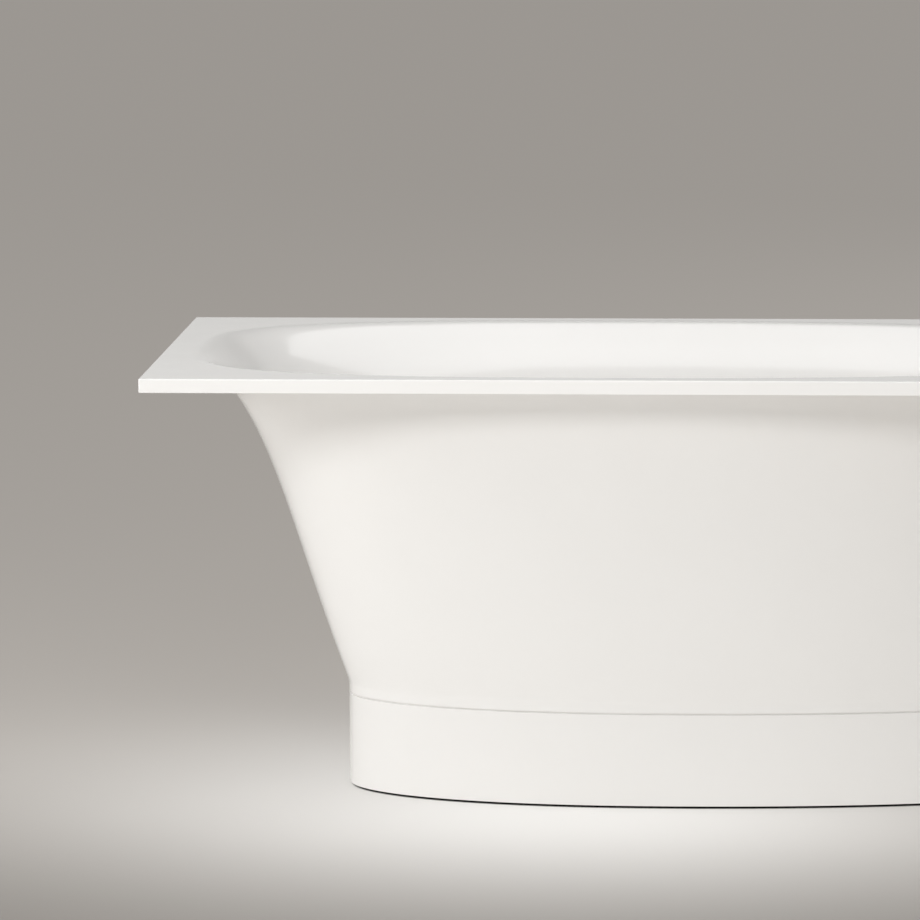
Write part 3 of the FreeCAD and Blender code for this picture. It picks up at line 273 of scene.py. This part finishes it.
def shade_smoothly(item):
    """Shades a piece smoothly, with its true edges kept sharp."""
    item.data.shade_smooth()
    item.data.set_sharp_from_angle(angle=SHARP_ANGLE)
    weighted = item.modifiers.new("weighted_normals", "WEIGHTED_NORMAL")
    weighted.keep_sharp = True


def work_with_tool(item, operation, tool):
    """Changes a piece's mesh by a boolean with a tool, which is then removed."""
    modifier = item.modifiers.new(operation.lower(), "BOOLEAN")
    modifier.operation = operation
    modifier.solver = "EXACT"
    modifier.object = tool
    graph = bpy.context.evaluated_depsgraph_get()
    mesh = bpy.data.meshes.new_from_object(item.evaluated_get(graph))
    item.modifiers.clear()
    item.data = mesh
    bpy.data.objects.remove(tool)


# Shader building
def node(tree, kind, values=None, **settings):
    """A shader node with its settings, and with values or links for its inputs."""
    item = tree.nodes.new("ShaderNode" + kind)
    for name, value in settings.items():
        setattr(item, name, value)
    for key, value in (values or {}).items():
        if isinstance(value, bpy.types.NodeSocket):
            tree.links.new(value, item.inputs[key])
        else:
            item.inputs[key].default_value = value
    return item


def product(tree, first, second):
    """Two values multiplied."""
    return node(tree, "Math", {0: first, 1: second}, operation="MULTIPLY").outputs["Value"]


def effect_group(name, inputs, outputs):
    """An empty shader node group with named sockets, and its two end nodes."""
    tree = bpy.data.node_groups.new(name, "ShaderNodeTree")
    for label, kind, default in inputs:
        socket = tree.interface.new_socket(label, in_out="INPUT", socket_type="NodeSocket" + kind)
        socket.default_value = default
    for label, kind in outputs:
        tree.interface.new_socket(label, in_out="OUTPUT", socket_type="NodeSocket" + kind)
    return tree, tree.nodes.new("NodeGroupInput").outputs, tree.nodes.new("NodeGroupOutput").inputs


def mixed(tree, mask, under, over):
    """A colour over another where the mask is."""
    mix = node(tree, "Mix", {"Factor": mask}, data_type="RGBA")
    for key, value in (("A", under), ("B", over)):
        socket = next(s for s in mix.inputs if s.name == key and s.type == "RGBA")
        if isinstance(value, bpy.types.NodeSocket):
            tree.links.new(value, socket)
        else:
            socket.default_value = value
    return next(s for s in mix.outputs if s.type == "RGBA")


def slow_drift_group():
    """Two colours and two roughnesses that drift into each other over the surface."""
    white = (0.8, 0.8, 0.8, 1.0)
    tree, given, result = effect_group(
        "slow_drift",
        [
            ("Scale", "Float", 5.0),
            ("First Color", "Color", white),
            ("Second Color", "Color", white),
            ("First Roughness", "Float", 0.2),
            ("Second Roughness", "Float", 0.3),
        ],
        [("Color", "Color"), ("Roughness", "Float")],
    )
    spot = node(tree, "TexCoord").outputs["Object"]
    cloud = node(tree, "TexNoise", {"Vector": spot, "Scale": given["Scale"], "Detail": 4.0, "Roughness": 0.6})
    spread = node(tree, "MapRange", {"Value": cloud.outputs["Fac"], "From Min": 0.3, "From Max": 0.7})
    tint = mixed(tree, spread.outputs["Result"], given["First Color"], given["Second Color"])
    rough = node(tree, "MapRange", {
        "Value": spread.outputs["Result"],
        "To Min": given["First Roughness"],
        "To Max": given["Second Roughness"],
    })
    tree.links.new(tint, result["Color"])
    tree.links.new(rough.outputs["Result"], result["Roughness"])
    return tree


def skin_grain_group():
    """Height of a fine moulded or cast skin: a grain and a slower ripple under it."""
    tree, given, result = effect_group(
        "skin_grain",
        [("Grain Scale", "Float", 900.0), ("Ripple Scale", "Float", 60.0), ("Ripple Share", "Float", 0.5)],
        [("Height", "Float")],
    )
    spot = node(tree, "TexCoord").outputs["Object"]
    grain = node(tree, "TexNoise", {"Vector": spot, "Scale": given["Grain Scale"], "Detail": 2.0})
    ripple = node(tree, "TexNoise", {"Vector": spot, "Scale": given["Ripple Scale"], "Detail": 1.0})
    height = node(tree, "Mix", {
        "Factor": given["Ripple Share"],
        "A": grain.outputs["Fac"],
        "B": ripple.outputs["Fac"],
    })
    tree.links.new(height.outputs["Result"], result["Height"])
    return tree


def edge_rub_group():
    """Mask of the edges that hands and handling have rubbed, broken up by a fine noise."""
    tree, given, result = effect_group(
        "edge_rub",
        [("Reach", "Float", 0.0012), ("Scale", "Float", 120.0)],
        [("Mask", "Float")],
    )
    rounded = node(tree, "Bevel", {"Radius": given["Reach"]}, samples=4)
    straight = node(tree, "NewGeometry").outputs["Normal"]
    lean = node(tree, "VectorMath", {0: rounded.outputs["Normal"], 1: straight}, operation="DOT_PRODUCT")
    edge = node(tree, "MapRange", {"Value": lean.outputs["Value"], "From Min": 0.995, "From Max": 0.85})
    spot = node(tree, "TexCoord").outputs["Object"]
    specks = node(tree, "TexNoise", {"Vector": spot, "Scale": given["Scale"], "Detail": 3.0})
    broken = node(tree, "MapRange", {"Value": specks.outputs["Fac"], "From Min": 0.35, "From Max": 0.6})
    mask = product(tree, edge.outputs["Result"], broken.outputs["Result"])
    tree.links.new(mask, result["Mask"])
    return tree


def settled_dust_group():
    """Mask of dust on what faces up, thicker and thinner in slow patches."""
    tree, given, result = effect_group(
        "settled_dust",
        [("Amount", "Float", 0.3), ("Scale", "Float", 18.0)],
        [("Mask", "Float")],
    )
    lie = node(tree, "SeparateXYZ", {"Vector": node(tree, "NewGeometry").outputs["Normal"]})
    upward = node(tree, "MapRange", {"Value": lie.outputs["Z"], "From Min": 0.35, "From Max": 0.95})
    spot = node(tree, "TexCoord").outputs["Object"]
    patches = node(tree, "TexNoise", {"Vector": spot, "Scale": given["Scale"], "Detail": 5.0})
    lying = product(tree, upward.outputs["Result"], patches.outputs["Fac"])
    tree.links.new(product(tree, lying, given["Amount"]), result["Mask"])
    return tree


slow_drift = slow_drift_group()
skin_grain = skin_grain_group()
edge_rub = edge_rub_group()
settled_dust = settled_dust_group()


def placed(tree, group, **values):
    """An effect group in a material, with this material's own values."""
    item = tree.nodes.new("ShaderNodeGroup")
    item.node_tree = group
    for label, value in values.items():
        item.inputs[label.replace("_", " ").title()].default_value = value
    return item.outputs


def grey(value, warm=0.0):
    """A colour near a grey, warmed by a share."""
    return (value * (1 + warm), value, value * (1 - warm), 1.0)


def finish_shader(name, constants=None):
    """A node material with its principled shader, constants set on the shader's own sockets."""
    material = bpy.data.materials.new(name)
    material.use_nodes = True
    tree = material.node_tree
    shader = tree.nodes["Principled BSDF"].inputs
    for label, value in (constants or {}).items():
        shader[label].default_value = value
    return material, tree, shader


def bumped(tree, shader, height, distance, strength=1.0):
    """Leads a height into a shader's normal."""
    bump = node(tree, "Bump", {"Height": height, "Distance": distance, "Strength": strength})
    tree.links.new(bump.outputs["Normal"], shader["Normal"])


def gloss_acrylic():
    """Cast white acrylic: a deep gloss with a hardly seen ripple and drift of tone."""
    material, tree, shader = finish_shader("gloss_acrylic", {
        "IOR": 1.49,
        "Specular IOR Level": 0.42,
        "Coat Weight": 0.4,
        "Coat Roughness": 0.02,
    })
    tone = placed(
        tree,
        slow_drift,
        scale=3.0,
        first_color=(0.868, 0.858, 0.842, 1.0),
        second_color=(0.882, 0.872, 0.856, 1.0),
        first_roughness=0.13,
        second_roughness=0.2,
    )
    tree.links.new(tone["Color"], shader["Base Color"])
    tree.links.new(tone["Roughness"], shader["Roughness"])
    skin = placed(tree, skin_grain, grain_scale=1400.0, ripple_scale=45.0, ripple_share=0.85)
    bumped(tree, shader, skin["Height"], distance=0.00006)
    return material


def chip_board():
    """Raw particle board: pressed chips of several browns."""
    material, tree, shader = finish_shader("chip_board")
    spot = node(tree, "TexCoord").outputs["Object"]
    chips = node(tree, "TexVoronoi", {"Vector": spot, "Scale": 260.0, "Randomness": 1.0})
    shade = node(tree, "SeparateColor", {"Color": chips.outputs["Color"]})
    tone = placed(
        tree,
        slow_drift,
        scale=30.0,
        first_color=(0.50, 0.36, 0.22, 1.0),
        second_color=(0.62, 0.47, 0.31, 1.0),
        first_roughness=0.75,
        second_roughness=0.9,
    )
    dark = node(tree, "MapRange", {"Value": shade.outputs["Red"], "To Max": 0.55})
    dark_chip = (0.32, 0.21, 0.12, 1.0)
    chipped = mixed(tree, dark.outputs["Result"], tone["Color"], dark_chip)
    dust = placed(tree, settled_dust, amount=0.35, scale=14.0)
    dust_tone = grey(0.55, warm=0.04)
    tree.links.new(mixed(tree, dust["Mask"], chipped, dust_tone), shader["Base Color"])
    tree.links.new(tone["Roughness"], shader["Roughness"])
    bumped(tree, shader, chips.outputs["Distance"], distance=0.0006, strength=0.5)
    return material


def moulded(name, first, second, rough, grain_scale, grain_depth, dust_amount):
    """A moulded plastic or rubber: drifting tone, fine grain, rubbed edges and a little dust."""
    material, tree, shader = finish_shader(name)
    tone = placed(
        tree,
        slow_drift,
        scale=25.0,
        first_color=first,
        second_color=second,
        first_roughness=rough[0],
        second_roughness=rough[1],
    )
    rub = placed(tree, edge_rub, reach=0.0008, scale=300.0)
    lighter = tuple(min(1.0, c * 1.25 + 0.02) for c in second[:3]) + (1.0,)
    rubbed = mixed(tree, rub["Mask"], tone["Color"], lighter)
    dust = placed(tree, settled_dust, amount=dust_amount, scale=22.0)
    dust_tone = grey(0.5, warm=0.04)
    tree.links.new(mixed(tree, dust["Mask"], rubbed, dust_tone), shader["Base Color"])
    tree.links.new(tone["Roughness"], shader["Roughness"])
    skin = placed(tree, skin_grain, grain_scale=grain_scale, ripple_scale=120.0, ripple_share=0.2)
    bumped(tree, shader, skin["Height"], distance=grain_depth)
    return material


def zinc_plate():
    """Zinc-plated steel: a patchy tone, a fine grain, brighter rubbed edges and a little dust."""
    material, tree, shader = finish_shader("zinc_plate", {"Metallic": 1.0})
    tone = placed(
        tree,
        slow_drift,
        scale=40.0,
        first_color=(0.52, 0.53, 0.55, 1.0),
        second_color=(0.66, 0.66, 0.64, 1.0),
        first_roughness=0.28,
        second_roughness=0.44,
    )
    rub = placed(tree, edge_rub, reach=0.0008, scale=200.0)
    bright = mixed(tree, rub["Mask"], tone["Color"], grey(0.8))
    dust = placed(tree, settled_dust, amount=0.25, scale=20.0)
    dust_tone = grey(0.42, warm=0.04)
    tree.links.new(mixed(tree, dust["Mask"], bright, dust_tone), shader["Base Color"])
    tree.links.new(tone["Roughness"], shader["Roughness"])
    skin = placed(tree, skin_grain, grain_scale=1600.0, ripple_scale=240.0, ripple_share=0.3)
    bumped(tree, shader, skin["Height"], distance=0.00008)
    return material


def polished_metal(name, first, second, rough, grain_depth):
    """A polished or turned metal: faint smudges and a fine skin."""
    material, tree, shader = finish_shader(name, {"Metallic": 1.0})
    tone = placed(
        tree,
        slow_drift,
        scale=55.0,
        first_color=first,
        second_color=second,
        first_roughness=rough[0],
        second_roughness=rough[1],
    )
    tree.links.new(tone["Color"], shader["Base Color"])
    tree.links.new(tone["Roughness"], shader["Roughness"])
    skin = placed(tree, skin_grain, grain_scale=2600.0, ripple_scale=180.0, ripple_share=0.6)
    bumped(tree, shader, skin["Height"], distance=grain_depth)
    return material


finishes = {
    "acrylic": gloss_acrylic(),
    "board": chip_board(),
    "seam_silicone": moulded(
        "seam_silicone",
        first=grey(0.74, warm=0.02),
        second=grey(0.8, warm=0.02),
        rough=(0.5, 0.6),
        grain_scale=900.0,
        grain_depth=0.00008,
        dust_amount=0.0,
    ),
    "seal_rubber": moulded(
        "seal_rubber",
        first=grey(0.022),
        second=grey(0.035),
        rough=(0.6, 0.75),
        grain_scale=900.0,
        grain_depth=0.00012,
        dust_amount=0.2,
    ),
    "zinc_steel": zinc_plate(),
    "pad_plastic": moulded(
        "grained_pad",
        first=grey(0.035),
        second=grey(0.055),
        rough=(0.45, 0.6),
        grain_scale=700.0,
        grain_depth=0.0003,
        dust_amount=0.3,
    ),
    "chrome": polished_metal(
        "chrome_plate",
        first=(0.74, 0.75, 0.77, 1),
        second=(0.80, 0.81, 0.82, 1),
        rough=(0.05, 0.11),
        grain_depth=0.000012,
    ),
    "pipe_plastic": moulded(
        "pipe_plastic",
        first=grey(0.66, warm=0.01),
        second=grey(0.73, warm=0.01),
        rough=(0.35, 0.5),
        grain_scale=500.0,
        grain_depth=0.00015,
        dust_amount=0.25,
    ),
    "hose_plastic": moulded(
        "hose_plastic",
        first=grey(0.17),
        second=grey(0.22),
        rough=(0.4, 0.55),
        grain_scale=400.0,
        grain_depth=0.0002,
        dust_amount=0.25,
    ),
    "cable_sheath": moulded(
        "cable_sheath",
        first=grey(0.02),
        second=grey(0.035),
        rough=(0.35, 0.5),
        grain_scale=600.0,
        grain_depth=0.0001,
        dust_amount=0.2,
    ),
    "brass": polished_metal(
        "turned_brass",
        first=(0.68, 0.48, 0.22, 1),
        second=(0.76, 0.57, 0.29, 1),
        rough=(0.18, 0.32),
        grain_depth=0.00005,
    ),
}
for row in frame["record"]["subparts"]:
    mesh = frame["nodes"][row["node"]].data
    mesh.materials.clear()
    mesh.materials.append(finishes[row["material_slot"]])


# Tub: one moulding, from the waste hole up the basin, over the rim and down the outside again
def tub_rings():
    """Rings of the whole moulding in order."""
    inside = basin_side(0.0, INSIDE_STEPS)[::-1]
    top_edge = rim_ring(RIM_ROUNDING, RIM_CORNER - RIM_ROUNDING, RIM_TOP)
    lip = inside[-1]
    rings = inside + [lip + (top_edge - lip) * share for share in RIM_TOP_SHARES] + [top_edge]
    for step in range(1, RIM_ROUNDING_STEPS + 1):
        turn = math.radians(90 / RIM_ROUNDING_STEPS * step)
        inset = RIM_ROUNDING * (1 - math.sin(turn))
        z = RIM_TOP - RIM_ROUNDING * (1 - math.cos(turn))
        rings.append(rim_ring(inset, RIM_CORNER - inset, z))
    flat = UNDER_ROUNDING * FLAT_SHARE
    rings.append(rim_ring(0.0, RIM_CORNER, RIM_UNDER + UNDER_ROUNDING))
    rings.append(rim_ring(flat, RIM_CORNER, RIM_UNDER + flat))
    rings.append(rim_ring(UNDER_ROUNDING, RIM_CORNER, RIM_UNDER))
    rings.append(rim_ring(SHELL_WALL, PLATE_CORNER, RIM_UNDER))
    rings.append(rim_ring(SHELL_WALL, PLATE_CORNER, PLATE_UNDER))
    rings += basin_side(SHELL_WALL, OUTSIDE_STEPS)
    rings.append(round_ring(WASTE_X, HOLE_RADIUS, BASIN_FLOOR - SHELL_WALL))
    rings.append(round_ring(WASTE_X, HOLE_RADIUS, BASIN_FLOOR))
    return rings


def overflow_tool(name, profile):
    """A closed piece turned about the overflow's axis from a half profile of radius and height."""
    turn = math.tau * np.arange(TURNED_SEGMENTS) / TURNED_SEGMENTS
    lean = Vector((0, 0, 1)).rotation_difference(OVERFLOW_NORMAL).to_matrix()
    work = bmesh.new()
    rings = []
    for radius, height in profile:
        if radius == 0:
            spots = [Vector((0, 0, height))]
        else:
            spots = [Vector((radius * math.cos(a), radius * math.sin(a), height)) for a in turn]
        rings.append([work.verts.new(OVERFLOW_POINT + lean @ spot) for spot in spots])
    for low, high in zip(rings, rings[1:] + rings[:1]):
        if len(low) == 1 and len(high) == 1:
            continue
        for i in range(TURNED_SEGMENTS):
            j = (i + 1) % TURNED_SEGMENTS
            corners = [low[i % len(low)], low[j % len(low)], high[j % len(high)], high[i % len(high)]]
            work.faces.new(list(dict.fromkeys(corners)))
    bmesh.ops.recalc_face_normals(work, faces=work.faces)
    mesh = bpy.data.meshes.new(name)
    work.to_mesh(mesh)
    work.free()
    return new_piece(name, mesh, finishes["acrylic"])


tub = new_piece("tub_moulding", ring_stack("tub_moulding", tub_rings()), finishes["acrylic"])
pad_flat = OVERFLOW_PAD_EDGE * FLAT_SHARE
work_with_tool(tub, "UNION", overflow_tool("pad_tool", [
    (0, OVERFLOW_PAD_BACK),
    (OVERFLOW_PAD_RADIUS, OVERFLOW_PAD_BACK),
    (OVERFLOW_PAD_RADIUS, OVERFLOW_PAD_FACE - OVERFLOW_PAD_EDGE),
    (OVERFLOW_PAD_RADIUS - pad_flat, OVERFLOW_PAD_FACE - pad_flat),
    (OVERFLOW_PAD_RADIUS - OVERFLOW_PAD_EDGE, OVERFLOW_PAD_FACE),
    (0, OVERFLOW_PAD_FACE),
]))
work_with_tool(tub, "DIFFERENCE", overflow_tool("hole_tool", [
    (0, -HOLE_TOOL_REACH),
    (HOLE_RADIUS, -HOLE_TOOL_REACH),
    (HOLE_RADIUS, HOLE_TOOL_REACH),
    (0, HOLE_TOOL_REACH),
]))


# Skirt and plinth, each a wall with an inner flange and softly broken edges at the seam
def seam_rounding(step, z, away):
    """Ring on the broken edge at the seam, which starts at a height and turns in, away up or down from it."""
    turn = math.radians(90 / ROUNDING_STEPS * step)
    outline = grown(PLINTH, -SEAM_ROUNDING * (1 - math.cos(turn)))
    return egg_ring(outline, z + away * SEAM_ROUNDING * math.sin(turn))


def skirt_rings():
    """Rings of the skirt: down the outside, in along the flange, and up the inside."""
    edge = SKIRT_BOTTOM + SEAM_ROUNDING
    outside = skirt_side(0.0, SKIRT_BOTTOM, SKIRT_STEPS)[:-1]
    rings = [ring for ring in outside if ring[0, 2] > edge]
    rings += [seam_rounding(step, edge, -1) for step in range(ROUNDING_STEPS + 1)]
    opening = grown(PLINTH, -PLINTH_WALL - FLANGE_WIDTH)
    rings.append(egg_ring(opening, SKIRT_BOTTOM))
    rings.append(egg_ring(opening, SKIRT_BOTTOM + FLANGE_THICKNESS))
    rings += skirt_side(-SKIRT_WALL, SKIRT_BOTTOM + FLANGE_THICKNESS, SKIRT_INSIDE_STEPS)[::-1]
    return rings


def plinth_rings():
    """Rings of the plinth: up the outside, in along the flange, and down the inside."""
    low = PLINTH_BOTTOM + SEAM_ROUNDING
    high = PLINTH_TOP - SEAM_ROUNDING
    flat = SEAM_ROUNDING * FLAT_SHARE
    rings = [egg_ring(grown(PLINTH, -SEAM_ROUNDING), PLINTH_BOTTOM)]
    rings.append(egg_ring(grown(PLINTH, -flat), PLINTH_BOTTOM + flat))
    shares = [step / PLINTH_STEPS for step in range(PLINTH_STEPS + 1)]
    rings += [egg_ring(PLINTH, low + (high - low) * share) for share in shares]
    rings += [seam_rounding(step, high, 1) for step in range(1, ROUNDING_STEPS + 1)]
    opening = grown(PLINTH, -PLINTH_WALL - FLANGE_WIDTH)
    rings.append(egg_ring(opening, PLINTH_TOP))
    rings.append(egg_ring(opening, PLINTH_TOP - FLANGE_THICKNESS))
    inner = grown(PLINTH, -PLINTH_WALL)
    rings.append(egg_ring(inner, PLINTH_TOP - FLANGE_THICKNESS))
    rings.append(egg_ring(inner, PLINTH_BOTTOM))
    return rings


skirt = new_piece("skirt_moulding", ring_stack("skirt_moulding", skirt_rings()), finishes["acrylic"])
plinth = new_piece("plinth_moulding", ring_stack("plinth_moulding", plinth_rings()), finishes["acrylic"])
for moulding, node_name in ((tub, "tub_shell"), (skirt, "skirt"), (plinth, "plinth")):
    shade_smoothly(moulding)
    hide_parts(node_name)
    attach(moulding, "tub")

# Studio: a wide matt floor with a painted pool of light round the tub's foot and painted shade under it
FLOOR_REACH = 60.0
# Painted light: a pool of light painted into the floor's colour round the tub's foot
PAINTED_POOL_MIDDLE = (-0.25, -0.12, 0.0)
PAINTED_POOL_REACH = (0.66, 0.58, 1.0)
PAINTED_POOL_TONE = (0.53, 0.523, 0.51, 1.0)
NEAR_TONE = (0.165, 0.154, 0.142, 1.0)
FAR_TONE = (0.289, 0.272, 0.254, 1.0)
NEAR_Y = -1.0
FAR_Y = 0.3
# Painted shade: the floor turns black where ambient occlusion finds the tub close over it, under the plinth
# and at its foot
SHADE_TONE = (0.0, 0.0, 0.0, 1.0)
SHADE_REACH = 1.0
SHADE_SHUT = 0.06
SHADE_OPEN = 0.28
BOUNCE_TONE = (0.51, 0.5, 0.484, 1.0)
# The floor glows with its own tones at this strength, though it is no lamp; its glow also falls on the tub
FLOOR_GLOW = 0.8


def painted_pool_mask(tree, spot):
    """Mask of the painted pool of light, which fades from its middle like a bell."""
    moved = node(tree, "VectorMath", {0: spot, 1: PAINTED_POOL_MIDDLE}, operation="SUBTRACT").outputs["Vector"]
    scaled = node(tree, "VectorMath", {0: moved, 1: PAINTED_POOL_REACH}, operation="DIVIDE").outputs["Vector"]
    away = node(tree, "VectorMath", {0: scaled, 1: scaled}, operation="DOT_PRODUCT").outputs["Value"]
    return node(tree, "Math", {0: product(tree, away, -1.0)}, operation="EXPONENT").outputs["Value"]


def studio_floor():
    """Glowing matt floor: a painted pool of light and painted shade on a warm grey, darker to the front, for
    eye and mirror, an even pale tone for bounced light.
    """
    material, tree, shader = finish_shader("studio_floor", {
        "Specular IOR Level": 0.0,
        "Roughness": 0.9,
        "Emission Strength": FLOOR_GLOW,
    })
    spot = node(tree, "NewGeometry").outputs["Position"]
    back = node(tree, "MapRange", {
        "Value": node(tree, "SeparateXYZ", {"Vector": spot}).outputs["Y"],
        "From Min": NEAR_Y,
        "From Max": FAR_Y,
    }, interpolation_type="SMOOTHSTEP")
    ground = mixed(tree, back.outputs["Result"], NEAR_TONE, FAR_TONE)
    # Painted light: the pool of light is painted into the floor's colour here
    with_painted_pool = mixed(tree, painted_pool_mask(tree, spot), ground, PAINTED_POOL_TONE)
    # Painted shade: the floor's colour goes black where the tub's ambient occlusion is deep
    clear_of_painted_shade = node(tree, "MapRange", {
        "Value": node(tree, "AmbientOcclusion", {"Distance": SHADE_REACH}).outputs["AO"],
        "From Min": SHADE_SHUT,
        "From Max": SHADE_OPEN,
    })
    tone = mixed(tree, clear_of_painted_shade.outputs["Result"], SHADE_TONE, with_painted_pool)
    path = node(tree, "LightPath").outputs
    seen = path["Is Camera Ray"]
    for mirrored in ("Is Glossy Ray", "Is Transmission Ray"):
        seen = node(tree, "Math", {0: seen, 1: path[mirrored]}, operation="MAXIMUM").outputs["Value"]
    shown = mixed(tree, seen, BOUNCE_TONE, tone)
    tree.links.new(shown, shader["Base Color"])
    # Glow: the floor gives off the tone it shows as light
    tree.links.new(shown, shader["Emission Color"])
    return material


floor_mesh = bpy.data.meshes.new("studio_floor")
corners = [(-1, -1), (1, -1), (1, 1), (-1, 1)]
floor_mesh.from_pydata([(x * FLOOR_REACH, y * FLOOR_REACH, 0.0) for x, y in corners], [], [(0, 1, 2, 3)])
floor = new_piece("studio_floor", floor_mesh, studio_floor())

# Light: soft boxes from the front, the head end, behind and above, and air that is brighter lower down
AIR_TONE = (1.0, 0.985, 0.96, 1.0)
AIR_LOW = 0.71
AIR_HIGH = 0.32
AIR_RISE = 0.45


def soft_box(name, place, target, size, power, spread=180):
    """An area lamp that looks at a point, its beam as wide as the spread in degrees."""
    lamp = bpy.data.lights.new(name, "AREA")
    lamp.shape = "RECTANGLE"
    lamp.size, lamp.size_y = size
    lamp.energy = power
    lamp.spread = math.radians(spread)
    item = bpy.data.objects.new(name, lamp)
    item.location = place
    item.rotation_euler = (Vector(target) - Vector(place)).to_track_quat("-Z", "Y").to_euler()
    item.visible_camera = False
    item.visible_glossy = False
    bpy.context.scene.collection.objects.link(item)
    return item


soft_box("high_box", place=(-0.4, -2.3, 1.8), target=(0.0, 0.0, 0.5), size=(0.8, 0.5), power=11.0)
soft_box("side_box", place=(-2.2, -3.0, 2.25), target=(0.0, 0.0, 0.5), size=(1.0, 0.7), power=33.0)
soft_box("left_box", place=(-3.4, -0.6, 1.3), target=(-0.5, 0.0, 0.4), size=(1.8, 1.0), power=4.8, spread=80)
soft_box("back_box", place=(3.5, 6.0, 3.2), target=(0.0, 0.0, 0.4), size=(3.0, 2.0), power=55.0)
soft_box("top_box", place=(-0.8, -1.3, 3.6), target=(-0.2, 0.0, 0.4), size=(2.6, 1.5), power=29.0)
# A wide panel overhead that shows only in reflections
sheen_box = soft_box(
    "sheen_box", place=(-0.15, -0.4, 3.6), target=(-0.15, -0.399, 0.4), size=(2.7, 4.2), power=70.0
)
sheen_box.visible_glossy = True
sheen_box.visible_diffuse = False


def studio_air():
    """A world of warm white air, brighter near the horizon than overhead."""
    world = bpy.data.worlds.new("studio_air")
    world.use_nodes = True
    tree = world.node_tree
    sky = tree.nodes["Background"].inputs
    sky["Color"].default_value = AIR_TONE
    rise = node(tree, "SeparateXYZ", {"Vector": node(tree, "TexCoord").outputs["Generated"]})
    air = node(tree, "MapRange", {
        "Value": rise.outputs["Z"],
        "From Max": AIR_RISE,
        "To Min": AIR_LOW,
        "To Max": AIR_HIGH,
    }, interpolation_type="SMOOTHSTEP")
    tree.links.new(air.outputs["Result"], sky["Strength"])
    return world


bpy.context.scene.world = studio_air()
bpy.context.scene.view_settings.view_transform = "Standard"

# Camera, fitted to the rim's and plinth's lines in the photo
CAMERA_PLACE = Vector((0.0, -7.26, 1.557))
CAMERA_YAW = math.radians(3.2773)
CAMERA_PITCH = math.radians(8.3547)
CAMERA_ROLL = math.radians(-0.2168)
CAMERA_LENS = 193.15
CAMERA_SENSOR = 36.0
CAMERA_SIGHT = 200.0


def photo_camera():
    """The camera, turned by its yaw, pitch and roll."""
    ahead = Vector((
        -math.sin(CAMERA_YAW) * math.cos(CAMERA_PITCH),
        math.cos(CAMERA_YAW) * math.cos(CAMERA_PITCH),
        -math.sin(CAMERA_PITCH),
    ))
    level = Vector((math.cos(CAMERA_YAW), math.sin(CAMERA_YAW), 0.0))
    upright = level.cross(ahead)
    right = level * math.cos(CAMERA_ROLL) + upright * math.sin(CAMERA_ROLL)
    turn = Matrix((right, right.cross(ahead), -ahead)).transposed()
    data = bpy.data.cameras.new("photo_camera")
    data.lens = CAMERA_LENS
    data.sensor_width = CAMERA_SENSOR
    data.clip_end = CAMERA_SIGHT
    camera = bpy.data.objects.new("photo_camera", data)
    camera.matrix_world = Matrix.Translation(CAMERA_PLACE) @ turn.to_4x4()
    bpy.context.scene.collection.objects.link(camera)
    return camera


bpy.context.scene.camera = photo_camera()
